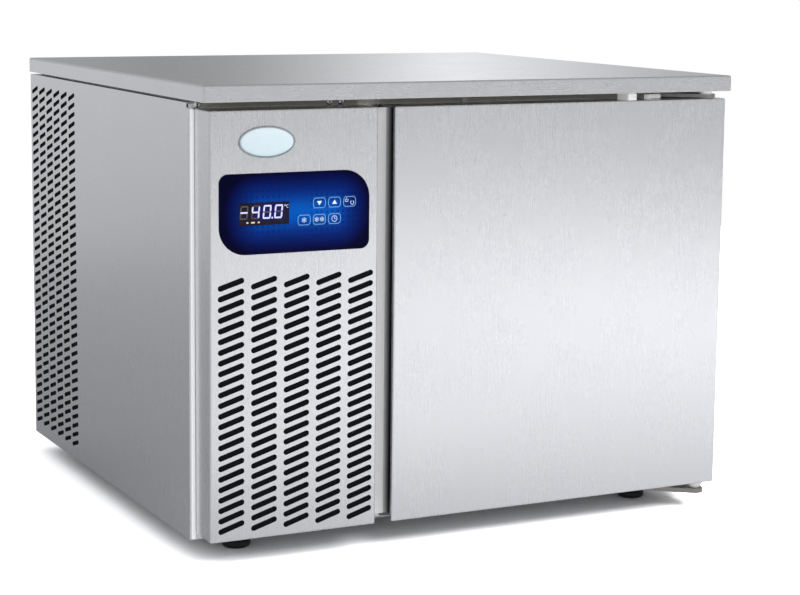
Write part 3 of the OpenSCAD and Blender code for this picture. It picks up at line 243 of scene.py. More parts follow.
def grip_material(name):
    """Drawn aluminium. The finger scoop is painted near black towards its depth, as painted shade, and is
    not metallic there.
    """
    g = Graph(name)
    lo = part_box("door_grip")[0]
    x, y, _ = g.axes()
    lines = g.noise((2500.0, 2500.0, 12.0), 3.0)
    dust = g.noise(90.0, 4.0)
    # painted shade: near black deeper in the finger scoop, set by the place on the grip
    scoop_shade = g.math("MULTIPLY", g.remap(x, lo.x + 0.0012, lo.x + 0.0085, 0.0, 1.0),
                   g.remap(y, lo.y + 0.0020, lo.y + 0.0035, 0.0, 1.0))
    metal = g.mix(g.remap(lines, 0.3, 0.7, 0, 1), (0.80, 0.80, 0.81), (0.85, 0.85, 0.86))
    metal = g.mix(g.remap(dust, 0.4, 0.7, 0, 0.3), metal, (0.72, 0.72, 0.73))
    g.bs(Base_Color=g.mix(scoop_shade, metal, (0.006, 0.006, 0.007)),
         Metallic=g.remap(scoop_shade, 0.0, 0.8, 1.0, 0.0), Roughness=g.remap(dust, 0.3, 0.7, 0.28, 0.36),
         Normal=g.bump(lines, 0.00002, 0.1), Specular_IOR_Level=0.15)
    return g.mat


def plated(name, colour, rough):
    """Dull zinc-plated sheet with faint spangle."""
    g = Graph(name)
    grains = g.noise(90.0, 4.0)
    g.bs(Base_Color=g.mix(g.remap(g.cells(160.0), 0.0, 0.9, 0.0, 0.5), colour, tone(colour, 0.86)),
         Metallic=0.9, Roughness=g.remap(grains, 0.3, 0.7, rough - 0.07, rough + 0.08),
         Normal=g.bump(grains, 0.00006, 0.4))
    return g.mat


def plastic(name, colour, rough, grain=420.0, depth=0.00012, coat=0.0, shine=0.5):
    """Moulded plastic or rubber: fine spark-eroded grain, slight clouding, worn edges."""
    g = Graph(name)
    fine = g.noise(grain, 3.0)
    clouds = g.noise(9.0, 3.0)
    worn = g.edges(0.0008)
    c = g.mix(g.remap(clouds, 0.3, 0.7, 0, 1), tone(colour, 0.94), tone(colour, 1.06))
    rubbed = tuple(min(1, x * 1.15 + 0.02) for x in colour)
    g.bs(Base_Color=g.mix(g.math("MULTIPLY", worn, 0.3), c, rubbed),
         Roughness=g.remap(fine, 0.3, 0.7, rough - 0.06, rough + 0.07),
         Normal=g.bump(fine, depth, 0.5), Coat_Weight=coat, Specular_IOR_Level=shine)
    return g.mat


def foam_material(name, colour):
    """Cut foam with small cells."""
    g = Graph(name)
    clouds = g.noise(14.0, 4.0)
    g.bs(Base_Color=g.mix(g.remap(clouds, 0.3, 0.7, 0, 1), tone(colour, 0.9), tone(colour, 1.04)),
         Roughness=0.85, Normal=g.bump(g.cells(900.0), 0.0004, 0.6))
    return g.mat


def wood_material(name, colour):
    """Pressed board with fibres along X and darker chips."""
    g = Graph(name)
    fibres = g.noise((60.0, 900.0, 900.0), 4.0)
    chips = g.noise(240.0, 3.0)
    c = g.mix(g.remap(fibres, 0.3, 0.7, 0, 1), tone(colour, 0.8), tone(colour, 1.1))
    g.bs(Base_Color=g.mix(g.remap(chips, 0.4, 0.7, 0, 0.4), c, tone(colour, 0.65)),
         Roughness=0.7, Normal=g.bump(fibres, 0.0003, 0.5))
    return g.mat


def copper_material(name, colour):
    """Drawn copper pipe with darker stains."""
    g = Graph(name)
    stains = g.noise(35.0, 5.0, rough=0.6)
    marks = g.noise((300.0, 300.0, 40.0), 3.0)
    g.bs(Base_Color=g.mix(g.remap(stains, 0.4, 0.68, 0, 0.7), colour, (0.36, 0.17, 0.10)),
         Metallic=1.0, Roughness=g.remap(stains, 0.3, 0.7, 0.22, 0.45),
         Normal=g.bump(marks, 0.00008, 0.4))
    return g.mat


def fins_material(name, colour, metallic=0.9, rough=0.38):
    """Close fins drawn as bands, with painted shade in the gaps between them and darker patches across
    them.
    """
    g = Graph(name)
    wave = g.add("ShaderNodeTexWave", wave_type="BANDS", bands_direction="X")
    g.join(g.coord, wave.inputs["Vector"])
    wave.inputs["Scale"].default_value = 90.0
    dark_patches = g.noise(60.0, 4.0)
    # painted shade: the gaps between the fins are 0.55 times as bright
    c = g.mix(g.remap(wave.outputs["Fac"], 0.25, 0.75, 0, 1), tone(colour, 0.55), colour)
    g.bs(Base_Color=g.mix(g.remap(dark_patches, 0.55, 0.75, 0, 0.5), c, tone(colour, 0.75)),
         Metallic=metallic, Roughness=rough, Normal=g.bump(wave.outputs["Fac"], 0.0006, 0.5))
    return g.mat


def overlay_material(name):
    """Blue film: dark at its rim, brighter in the middle, with faint dots between."""
    g = Graph(name)
    lo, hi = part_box("control_overlay")
    c, half = (lo + hi) / 2, (hi - lo) / 2
    across, _, up = g.axes()
    x = g.math("ABSOLUTE", g.math("DIVIDE", g.math("SUBTRACT", across, c.x + 0.003), half.x))
    z = g.math("ABSOLUTE", g.math("DIVIDE", g.math("SUBTRACT", up, c.z), half.z))
    ends = g.remap(x, 0.42, 0.97, 0.0, 1.0)
    power = 2.6                 # between a circle's outline and a rectangle's
    r = g.math("ADD", g.math("POWER", ends, power), g.math("POWER", z, power))
    glow = g.ramp(g.math("POWER", r, 1 / power), (
        (0.0, 0.0003, 0.086, 0.44), (0.16, 0.0003, 0.074, 0.39), (0.32, 0.0003, 0.046, 0.285),
        (0.48, 0.0003, 0.023, 0.19), (0.64, 0.0002, 0.0120, 0.12), (0.80, 0.0002, 0.0046, 0.070),
        (0.94, 0.0001, 0.0008, 0.032), (1.0, 0.0, 0.0, 0.016)))
    # rows of dots
    pitch = 0.0062
    frac = g.vector("FRACTION", g.scaled((1 / pitch, 1.0, 1 / pitch)))
    off = g.vector("SUBTRACT", frac.outputs[0], (0.5, 0.5, 0.5))
    flat = g.vector("MULTIPLY", off.outputs[0], (1.0, 0.0, 1.0))
    length = g.vector("LENGTH", flat.outputs[0])
    dots = g.remap(length.outputs["Value"], 0.30, 0.22, 0.0, 1.0)
    band = g.math("MULTIPLY", g.remap(z, 0.55, 0.62, 1.0, 0.0), g.remap(x, 0.05, 0.25, 0.0, 1.0))
    band = g.math("MULTIPLY", band, g.remap(x, 0.80, 0.88, 1.0, 0.0))
    mask = g.math("MULTIPLY", g.math("MULTIPLY", dots, band), 0.4)
    grain = g.noise(900.0, 2.0)
    g.bs(Base_Color=g.mix(mask, glow, (0.0006, 0.004, 0.075)),
         Roughness=g.remap(grain, 0.3, 0.7, 0.30, 0.40),
         Normal=g.bump(grain, 0.00004, 0.4), Specular_IOR_Level=0.05)
    return g.mat


def window_material(name):
    """Dark window: the glow of its digits spreads in the film behind it."""
    g = Graph(name)
    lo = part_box("display_window")[0]
    x, _, z = g.axes()
    left = g.remap(x, lo.x + 0.013, lo.x + 0.022, 0.0, 1.0)
    right = g.remap(x, lo.x + 0.048, lo.x + 0.054, 1.0, 0.0)
    high = g.remap(z, lo.z + 0.0200, lo.z + 0.0235, 1.0, 0.0)
    low = g.remap(z, lo.z + 0.0035, lo.z + 0.0075, 0.0, 1.0)
    glow = g.math("MULTIPLY", g.math("MULTIPLY", left, right), g.math("MULTIPLY", high, low))
    dust = g.noise(300.0, 3.0)
    clouds = g.noise(60.0, 3.0)
    g.bs(Base_Color=g.mix(g.remap(clouds, 0.3, 0.7, 0, 1), (0.004, 0.003, 0.010), (0.010, 0.007, 0.02)),
         Roughness=g.remap(dust, 0.4, 0.7, 0.2, 0.3), Normal=g.bump(dust, 0.00002, 0.3),
         Emission_Color=g.mix(glow, (0.004, 0.003, 0.003), (0.001, 0.0010, 0.090)),
         Emission_Strength=1.0, Specular_IOR_Level=0.12)
    return g.mat


def seal_material(name, glow):
    """Milky plastic with a faint glow of its own: painted light, which makes it brighter than the lamps
    make it.
    """
    g = Graph(name)
    n = g.noise(180.0, 4.0)
    g.bs(Base_Color=g.mix(g.remap(n, 0.3, 0.7, 0, 1), (0.90, 0.90, 0.90), (0.94, 0.94, 0.94)),
         Roughness=g.remap(n, 0.3, 0.7, 0.32, 0.42), Normal=g.bump(n, 0.00003, 0.3),
         Emission_Color=(glow, glow, glow * 1.02, 1), Emission_Strength=1.0)
    return g.mat


def light_material(name, colour, strength):
    """A lit mark with slight unevenness."""
    g = Graph(name)
    n = g.noise(700.0, 2.0)
    g.bs(Base_Color=(0.02, 0.02, 0.02, 1.0), Roughness=0.35, Emission_Strength=strength,
         Emission_Color=g.mix(g.remap(n, 0.3, 0.7, 0, 1), tone(colour, 0.88), colour))
    return g.mat


def print_material(name, colour):
    """Printed ink with a fine grain."""
    g = Graph(name)
    n = g.noise(1500.0, 2.0)
    g.bs(Base_Color=g.mix(g.remap(n, 0.3, 0.7, 0, 1), tone(colour, 0.93), colour),
         Roughness=g.remap(n, 0.3, 0.7, 0.35, 0.5), Normal=g.bump(n, 0.00002, 0.4))
    return g.mat


def badge_material(name):
    """Glazed plate, slightly paler towards its top."""
    g = Graph(name)
    lo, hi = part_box("badge_plate")
    n = g.noise(120.0, 3.0)
    colour = g.mix(g.remap(g.axes()[2], lo.z, hi.z, 0.0, 1.0), (0.60, 0.73, 0.79), (0.70, 0.78, 0.82))
    g.bs(Base_Color=g.mix(g.remap(n, 0.3, 0.7, 0, 0.2), colour, (0.58, 0.70, 0.77)),
         Roughness=g.remap(n, 0.3, 0.7, 0.22, 0.30), Normal=g.bump(n, 0.00003, 0.4),
         Specular_IOR_Level=0.3)
    return g.mat


def chrome_material(name, rough=0.12, colour=(0.80, 0.80, 0.81)):
    """Bright metal with faint clouding."""
    g = Graph(name)
    n = g.noise(220.0, 4.0)
    g.bs(Base_Color=g.mix(g.remap(n, 0.35, 0.7, 0, 0.4), colour, tone(colour, 0.82)), Metallic=1.0,
         Roughness=g.remap(n, 0.3, 0.7, rough - 0.03, rough + 0.06), Normal=g.bump(n, 0.00004, 0.3))
    return g.mat


def board_material(name):
    """Green circuit board with tracks."""
    g = Graph(name)
    tracks = g.add("ShaderNodeTexBrick")
    g.join(g.scaled((120.0, 120.0, 120.0), rotation=(math.radians(90), 0, 0)), tracks.inputs["Vector"])
    tracks.inputs["Color1"].default_value = (0.02, 0.17, 0.07, 1)
    tracks.inputs["Color2"].default_value = (0.03, 0.21, 0.09, 1)
    tracks.inputs["Mortar"].default_value = (0.05, 0.30, 0.14, 1)
    n = g.noise(200.0, 3.0)
    g.bs(Base_Color=tracks.outputs["Color"], Roughness=g.remap(n, 0.3, 0.7, 0.3, 0.45),
         Normal=g.bump(n, 0.00005, 0.4))
    return g.mat


STEEL = (0.745, 0.750, 0.765)
# materials by their slot in the record, and a few that only scene.py uses
M = {
    "steel_top": brushed("steel_top", STEEL, 0.27, "X", 0.25, wave=0.0),
    "steel_case": brushed("steel_case", STEEL, 0.28, "Z"),
    "steel_front": brushed("steel_front", STEEL, 0.27, "Z"),
    "steel_liner": brushed("steel_liner", (0.76, 0.765, 0.77), 0.30, "Z"),
    "zinc": plated("zinc", (0.60, 0.61, 0.62), 0.45),
    "steel_bright": chrome_material("steel_bright"),
    "fins": fins_material("fins", (0.62, 0.63, 0.65)),
    "foam": foam_material("foam", (0.80, 0.68, 0.40)),
    "board": wood_material("board", (0.45, 0.32, 0.18)),
    "plastic_white": plastic("plastic_white", (0.78, 0.78, 0.76), 0.42),
    "plastic_grey": plastic("plastic_grey", (0.12, 0.125, 0.13), 0.48),
    "plastic_black": plastic("plastic_black", (0.012, 0.012, 0.014), 0.45),
    "grip": grip_material("grip"),
    # deep_black: the near-black of the painted-shade sheets behind the louvres and vents
    "deep_black": plastic("deep_black", (0.004, 0.004, 0.006), 0.8, 300.0, 0.0001, shine=0.1),
    # painted light: these two milky materials glow faintly
    "seal_white": seal_material("seal_white", 0.24),
    "grip_lip": seal_material("grip_lip", 0.15),
    "foam_strip": plastic("foam_strip", (0.64, 0.64, 0.57), 0.75, 500.0, 0.0003),
    "hinge_steel": plated("hinge_steel", (0.30, 0.285, 0.27), 0.40),
    "coil_black": plastic("coil_black", (0.010, 0.010, 0.012), 0.5, 300.0, 0.0002),
    "gasket": plastic("gasket", (0.014, 0.014, 0.016), 0.62, 600.0),
    "rubber": plastic("rubber", (0.010, 0.010, 0.010), 0.7, 300.0, 0.0003),
    "overlay": overlay_material("overlay"),
    "display": window_material("display"),
    "badge": badge_material("badge"),
    "board_green": board_material("board_green"),
    "copper": copper_material("copper", (0.72, 0.38, 0.24)),
    "compressor": plastic("compressor", (0.010, 0.010, 0.011), 0.30, 120.0, 0.0002, coat=0.4),
    "box_grey": plastic("box_grey", (0.50, 0.51, 0.51), 0.5),
}

slots = {s["node"]: s["material_slot"] for s in frame["record"]["subparts"]}


def dress(obj, material):
    obj.data.materials.clear()
    obj.data.materials.append(material)


for name, obj in nodes.items():
    dress(obj, M[slots[name]])
for name in ("hinge_plate_top", "hinge_plate_bottom"):
    dress(nodes[name], M["hinge_steel"])
# painted light: the magnet's block, the roller and the hinge pins glow faintly with seal_white
for name in ("door_switch_magnet", "door_closer_roller", "hinge_pins"):
    dress(nodes[name], M["seal_white"])
dress(nodes["condenser_coil"], fins_material("coil_black_fins", (0.016, 0.016, 0.018), 0.0, 0.55))


# ---------------------------------------------------------------- mesh pieces

def mesh_piece(name, bm, material, body, replaces=()):
    """Turns a bmesh in the row's frame into a piece that rides on a body."""
    bmesh.ops.recalc_face_normals(bm, faces=bm.faces)
    me = bpy.data.meshes.new(name)
    bm.to_mesh(me)
    bm.free()
    obj = bpy.data.objects.new(name, me)
    scene.collection.objects.link(obj)
    obj.data.materials.append(material)
    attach(obj, body)
    if replaces:
        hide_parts(*replaces)


def tube(bm, rows):
    """Joins rows of corners, each with the same number, into a skin that is open at both ends."""
    for a, b in zip(rows, rows[1:]):
        for k in range(len(a)):
            m = (k + 1) % len(a)
            bm.faces.new((a[k], a[m], b[m], b[k]))


def slab(bm, outline, y0, y1):
    """A closed slab with a 2D outline in X and Z, from y0 back to y1."""
    front = [bm.verts.new((x, y0, z)) for x, z in outline]
    back = [bm.verts.new((x, y1, z)) for x, z in outline]
    bm.faces.new(front)
    bm.faces.new(list(reversed(back)))
    k = len(outline)
    for i in range(k):
        j = (i + 1) % k
        bm.faces.new((front[i], back[i], back[j], front[j]))


def ring(bm, outer, inner, y0, y1):
    """A closed ring between two outlines with the same number of points."""
    fo, fi = ([bm.verts.new((x, y0, z)) for x, z in o] for o in (outer, inner))
    bo, bi = ([bm.verts.new((x, y1, z)) for x, z in o] for o in (outer, inner))
    k = len(outer)
    for i in range(k):
        j = (i + 1) % k
        bm.faces.new((fo[i], fo[j], fi[j], fi[i]))
        bm.faces.new((bo[i], bi[i], bi[j], bo[j]))
        bm.faces.new((fo[i], bo[i], bo[j], fo[j]))
        bm.faces.new((fi[i], fi[j], bi[j], bi[i]))


def round_rect(cx, cz, w, h, r, n=8):
    """Outline of a rectangle with corners of radius r."""
    pts = []
    for sx, sz, a0 in ((1, 1, 0), (-1, 1, 90), (-1, -1, 180), (1, -1, 270)):
        for k in range(n + 1):
            a = math.radians(a0 + 90 * k / n)
            pts.append((cx + sx * (w / 2 - r) + r * math.cos(a),
                        cz + sz * (h / 2 - r) + r * math.sin(a)))
    return pts


def circle_pts(cx, cz, r, n=32):
    turns = [2 * math.pi * k / n for k in range(n)]
    return [(cx + r * math.cos(a), cz + r * math.sin(a)) for a in turns]


def arc_outline(cx, cz, outer, inner, degrees):
    """Outline of an open ring. Outer and inner are its half width and half height."""
    angles = [math.radians(a) for a in degrees]
    return ([(cx + outer[0] * math.cos(a), cz + outer[1] * math.sin(a)) for a in angles]
            + [(cx + inner[0] * math.cos(a), cz + inner[1] * math.sin(a)) for a in reversed(angles)])


# ---------------------------------------------------------------- display and keys

PRINT_RISE = 0.00006        # metres by which prints and unlit segments stand off their surface
LIT_RISE = 0.00012          # the same for lit segments


def segment(cx, cz, w, h, which, slant, t):
    """Outline of one segment of a digit of width w and height h centred on cx and cz."""
    gap = t * 0.14
    hw, hh = w / 2, h / 2
    flat = w - t - 2 * gap
    tall = hh - t / 2 - 2 * gap

    def bar(x, z, length, upright):
        a, b = length / 2, t / 2
        pts = [(-a, 0), (-a + b, b), (a - b, b), (a, 0), (a - b, -b), (-a + b, -b)]
        if upright:
            pts = [(q, p) for p, q in pts]
        return [(x + p, z + q) for p, q in pts]

    zt, zm, zb = hh - t / 2, 0.0, -hh + t / 2
    xl, xr = -hw + t / 2, hw - t / 2
    shapes = {
        "a": bar(0, zt, flat + t, False), "g": bar(0, zm, flat + t, False),
        "d": bar(0, zb, flat + t, False),
        "f": bar(xl, (zt + zm) / 2, tall, True), "b": bar(xr, (zt + zm) / 2, tall, True),
        "e": bar(xl, (zb + zm) / 2, tall, True), "c": bar(xr, (zb + zm) / 2, tall, True),
    }
    return [(cx + x + slant * z, cz + z) for x, z in shapes[which]]


# lit segments of each sign
DIGITS = {"-": "g", "4": "fgbc", "0": "abcdef"}


def display():
    """Seven-segment digits, a degree sign and three lamps on the window's face."""
    lo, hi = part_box("display_window")
    back = lo.y + 0.0002
    lit_face, unlit_face, lamp_face = lo.y - LIT_RISE, lo.y - PRINT_RISE, lo.y - 0.0001
    lit, unlit, warm, lamps = (bmesh.new() for _ in range(4))
    width, height, thick, slant, pitch = 0.0092, 0.0146, 0.0017, 0.10, 0.0131
    middle = (lo.z + hi.z) / 2 + 0.0018
    for k, ch in enumerate("-400"):
        cx = lo.x + 0.0060 + pitch * k
        for s in "abcdefg":
            on = s in DIGITS[ch]
            slab(lit if on else warm if k == 1 else unlit,
                 segment(cx, middle, width, height, s, slant, thick), lit_face if on else unlit_face, back)
        if k == 2:
            point = circle_pts(cx + width / 2 + 0.0012, middle - height / 2 + 0.0009, 0.0010, 16)
            slab(lit, point, lit_face, back)
    # degree sign: a small ring and an open one
    dx, dz = lo.x + 0.0528, middle + 0.0052
    ring(lit, circle_pts(dx, dz + 0.001, 0.0009, 16), circle_pts(dx, dz + 0.001, 0.0005, 16),
         lit_face, back)
    slab(lit, arc_outline(dx + 0.0028, dz, (0.0014, 0.0018), (0.0010, 0.0013), range(50, 311, 20)),
         lit_face, back)
    for k, x in enumerate((0.0098, 0.0161, 0.0226)):
        w = 0.0042 if k == 1 else 0.0022
        slab(lamps, round_rect(lo.x + x, lo.z + 0.0030, w, 0.0016, 0.0005, 3), lamp_face, back)
    for name, bm, mark, colour, strength in (
            ("display_digits", lit, "digits_lit", (0.62, 0.66, 1.0), 1.25),
            ("display_unlit_segments", unlit, "digits_unlit", (0.060, 0.048, 0.042), 0.7),
            ("display_unlit_warm", warm, "digits_warm", (0.045, 0.016, 0.026), 0.7),
            ("display_lamps", lamps, "lamps", (0.86, 0.78, 0.42), 1.0)):
        mesh_piece(name, bm, light_material(mark, colour, strength), "casing")


display()


def key_print(name, body, draw):
    """Printed outline and sign of a key, which ride on that key."""
    lo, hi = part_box(name)
    c = (lo + hi) / 2
    y0, y1 = lo.y - PRINT_RISE, lo.y + 0.00012
    inset, line, corner = 0.0008, 0.0006, 0.0036
    w, h = hi.x - lo.x - inset, hi.z - lo.z - inset
    edge, sign = bmesh.new(), bmesh.new()
    ring(edge, round_rect(c.x, c.z, w, h, corner),
         round_rect(c.x, c.z, w - 2 * line, h - 2 * line, corner - line), y0, y1)
    mesh_piece(name + "_outline", edge, M_OUTLINE, body)
    draw(sign, c.x, c.z, y0, y1)
    mesh_piece(name + "_print", sign, M_PRINT, body)


def triangle(up):
    """A filled triangle that points up or down."""
    s = 1 if up else -1

    def draw(bm, x, z, y0, y1):
        base = z - s * 0.0019
        slab(bm, [(x - 0.0029, base), (x + 0.0029, base), (x, z + s * 0.0026)], y0, y1)
    return draw


def stroke(bm, x, z, y0, y1):
    """A plain upright rectangle between two places in X and in Z."""
    slab(bm, [(x[0], z[0]), (x[1], z[0]), (x[1], z[1]), (x[0], z[1])], y0, y1)


def flake_at(bm, x, z, r, y0, y1):
    """A snowflake: three strokes with two branches at each end."""
    t = 0.00022
    for k in range(3):
        a = math.radians(30 + 60 * k)
        d, n = (math.cos(a), math.sin(a)), (-math.sin(a), math.cos(a))
        slab(bm, [(x + i * r * d[0] + j * t * n[0], z + i * r * d[1] + j * t * n[1])
                  for i, j in ((-1, -1), (1, -1), (1, 1), (-1, 1))], y0, y1)
        for s in (-1, 1):
            bx, bz = x + s * r * 0.62 * d[0], z + s * r * 0.62 * d[1]
            for q in (-1, 1):
                b = a + q * math.radians(48)
                e = (s * math.cos(b) * r * 0.38, s * math.sin(b) * r * 0.38)
                m = (-math.sin(b) * t, math.cos(b) * t)
                slab(bm, [(bx - m[0], bz - m[1]), (bx + e[0] - m[0], bz + e[1] - m[1]),
                          (bx + e[0] + m[0], bz + e[1] + m[1]), (bx + m[0], bz + m[1])], y0, y1)


def one_flake(bm, x, z, y0, y1):
    flake_at(bm, x, z, 0.0028, y0, y1)


def two_flakes(bm, x, z, y0, y1):
    for s in (-1, 1):
        flake_at(bm, x + s * 0.0031, z, 0.0026, y0, y1)


def power(bm, x, z, y0, y1):
    """Two open rings, the upper one with a stroke."""
    line, half, stem = 0.0005, 0.00025, x - 0.0034
    for ox, oz, r, gap in ((-0.0034, 0.0017, 0.0021, 50), (0.0031, -0.0013, 0.0022, 20)):
        degrees = range(90 + gap, 450 - gap + 1, 15)
        slab(bm, arc_outline(x + ox, z + oz, (r, r), (r - line, r - line), degrees), y0, y1)
    stroke(bm, (stem - half, stem + half), (z + 0.0017, z + 0.0042), y0, y1)


def clock(bm, x, z, y0, y1):
    """A ring with two hands."""
    half = 0.00025
    ring(bm, circle_pts(x, z, 0.0033), circle_pts(x, z, 0.0028), y0, y1)
    stroke(bm, (x - half, x + half), (z - 0.0002, z + 0.0023), y0, y1)
    stroke(bm, (x, x + 0.0018), (z - half, z + half), y0, y1)


M_PRINT = print_material("key_print", (0.80, 0.92, 1.0))
M_OUTLINE = print_material("key_outline", (0.16, 0.46, 0.92))
for key, sign in (("down", triangle(False)), ("up", triangle(True)), ("start_stop", power),
                  ("chill", one_flake), ("freeze", two_flakes), ("mode", clock)):
    key_print("key_" + key, "button_" + key, sign)


def badge_shell(profile, rim):
    """Turned oval around the badge's middle, through steps of inset from its edge and height."""
    lo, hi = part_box("badge_plate")
    c, a, b = (lo + hi) / 2, (hi.x - lo.x) / 2, (hi.z - lo.z) / 2
    n = 96
    turns = [2 * math.pi * k / n for k in range(n)]
    bm = bmesh.new()
    rows = [[bm.verts.new((c.x + (a - inset) * math.cos(t), hi.y - height,
                           c.z + (b - inset) * math.sin(t))) for t in turns]
            for inset, height in profile]
    tube(bm, rows)
    if rim:
        tube(bm, (rows[-1], rows[0]))
    else:
        bm.faces.new(rows[-1])
        bm.faces.new(list(reversed(rows[0])))
    for f in bm.faces:
        f.smooth = True
    return bm


def badge():
    """Domed blank badge with a bright rim, in place of the flat one."""
    rim = [(0.0, 0.0), (0.0, 0.0007), (0.0003, 0.0012), (0.0009, 0.00148), (0.0015, 0.0013),
           (0.0019, 0.0009), (0.0019, 0.0)]
    dome = [(0.0019, 0.0), (0.0019, 0.0007), (0.0035, 0.00095), (0.007, 0.00118), (0.0115, 0.0013)]
    rim_metal = chrome_material("badge_rim", 0.16, (0.42, 0.45, 0.47))
    mesh_piece("badge_rim", badge_shell(rim, True), rim_metal, "casing")
    mesh_piece("badge_dome", badge_shell(dome, False), M["badge"], "casing", ("badge_plate",))


badge()


# ---------------------------------------------------------------- small pieces on the casing and the door

def bar(name, x, y, z, material, body, slot):
    """A plain bar with faintly broken edges."""
    bm = bmesh.new()
    bmesh.ops.create_cube(bm, size=1.0)
    size = Vector((x[1] - x[0], y[1] - y[0], z[1] - z[0]))
    place = Vector((x[0] + x[1], y[0] + y[1], z[0] + z[1])) / 2
    for v in bm.verts:
        v.co = Vector((v.co.x * size.x, v.co.y * size.y, v.co.z * size.z)) + place
    bmesh.ops.bevel(bm, geom=bm.edges[:], offset=min(size) * 0.22, segments=2, affect="EDGES")
    mesh_piece(name, bm, material, body)


def screw(name, x, y, z):
    """A pan head with a cross recess, on a face that looks to the front."""
    r, height, n = 0.0036, 0.0016, 24
    turns = [2 * math.pi * k / n for k in range(n)]
    bm = bmesh.new()
    rows = [[bm.verts.new((x + q * math.cos(t), y - h, z + q * math.sin(t))) for t in turns]
            for q, h in ((r, 0.0), (r, height * 0.45), (r * 0.86, height * 0.8), (r * 0.55, height))]
    tube(bm, rows)
    bm.faces.new(rows[-1])
    bm.faces.new(list(reversed(rows[0])))
    for f in bm.faces:
        f.smooth = True
    mesh_piece(name, bm, M["steel_bright"], "casing")
    cross = bmesh.new()
    for w, h in ((0.0005, r * 0.45), (r * 0.45, 0.0005)):
        stroke(cross, (x - w, x + w), (z - h, z + h), y - height - 0.00004, y - height + 0.0002)
    mesh_piece(name + "_recess", cross, M["plastic_black"], "casing")


def grip_wing():
    """Thin wing of the grip profile, which closes the gap behind the door's free edge. It glows faintly: a
    painted highlight.
    """
    lo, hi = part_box("door_grip")
    wing = bmesh.new()
    outline = ((0.0026, -0.0075), (-0.0006, -0.0067), (-0.0036, -0.0057), (-0.0066, -0.0045),
               (-0.0066, -0.0032), (-0.0036, -0.0042), (-0.0006, -0.0050), (0.0026, -0.0054))
    rows = [[wing.verts.new((lo.x + x, hi.y + y, z)) for x, y in outline] for z in (lo.z, hi.z)]
    tube(wing, rows)
    wing.faces.new(list(reversed(rows[0])))
    wing.faces.new(rows[1])
    # painted highlight: grip_lip glows faintly
    mesh_piece("door_grip_wing", wing, M["grip_lip"], "door")


def small_pieces():
    """Strips, near-black sheets of painted shade and screws that sit on the casing, and the wing of the
    door's grip.
    """
    side_lo, side_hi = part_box("side_panel_left")
    panel_lo, panel_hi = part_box("control_panel")
    frame_lo, frame_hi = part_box("front_frame")
    overlay_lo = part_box("control_overlay")[0]
    plate_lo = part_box("hinge_plate_top")[0]
    # white strip between the left side panel's front fold and the control panel; it glows faintly: a
    # painted highlight of the fold
    bar("fold_highlight_strip_left", (side_lo.x + 0.0016, panel_lo.x - 0.0001),
        (side_lo.y - 0.0034, side_lo.y + 0.0001), (side_lo.z + 0.0006, side_hi.z - 0.0062),
        M["seal_white"], "casing", "plastic_white")
    # foam strip under the worktop's rim, up to the hinge plate
    bar("rim_seal", (side_lo.x + 0.0070, plate_lo.x - 0.0010), (frame_lo.y - 0.0012, frame_lo.y + 0.0001),
        (panel_hi.z + 0.0004, frame_hi.z + 0.0028), M["foam_strip"], "casing", "gasket")
    # near-black sheets close behind the louvres and behind the left side's vents: painted shade inside the
    # casing
    bar("louvre_shade_sheet", (panel_lo.x + 0.004, panel_hi.x - 0.004), (panel_lo.y + 0.0014, panel_lo.y + 0.0030),
        (panel_lo.z + 0.004, overlay_lo.z - 0.018), M["deep_black"], "casing", "coil_black")
    bar("side_vent_shade_sheet", (side_lo.x + 0.0014, side_lo.x + 0.0030), (0.100, side_hi.y - 0.006),
        (side_lo.z + 0.004, side_hi.z - 0.008), M["deep_black"], "casing", "coil_black")
    grip_wing()
    screw_places, screw_height = (-0.319, -0.166, -0.152), 0.4950
    for k, x in enumerate(screw_places):
        screw("frame_screw_%d" % (k + 1), x, frame_lo.y - 0.0011, screw_height)


small_pieces()


# ---------------------------------------------------------------- studio

def area(name, place, target, size, power, colour=(1, 1, 1)):
    """A soft lamp that lights the unit and shows in no mirror and no picture."""
    data = bpy.data.lights.new(name, "AREA")
    data.shape = "RECTANGLE"
    data.size, data.size_y = size
    data.energy = power
    data.color = colour
    obj = bpy.data.objects.new(name, data)
    obj.location = place
    obj.rotation_mode = "QUATERNION"
    obj.rotation_quaternion = (Vector(target) - Vector(place)).to_track_quat("-Z", "Y")
    obj.visible_camera = False
    obj.visible_glossy = False
    scene.collection.objects.link(obj)


def cool(steps):
    """Steps of place and brightness as steps of a ramp in a slightly cool grey."""
    return [(place, v * 0.985, v * 0.99, v * 1.01) for place, v in steps]


def seen_or_passed(graph, ray):
    """1 for camera rays and for rays that have passed through a clear piece."""
    return graph.math("MAXIMUM", ray.outputs["Is Camera Ray"], ray.outputs["Is Transmission Ray"])


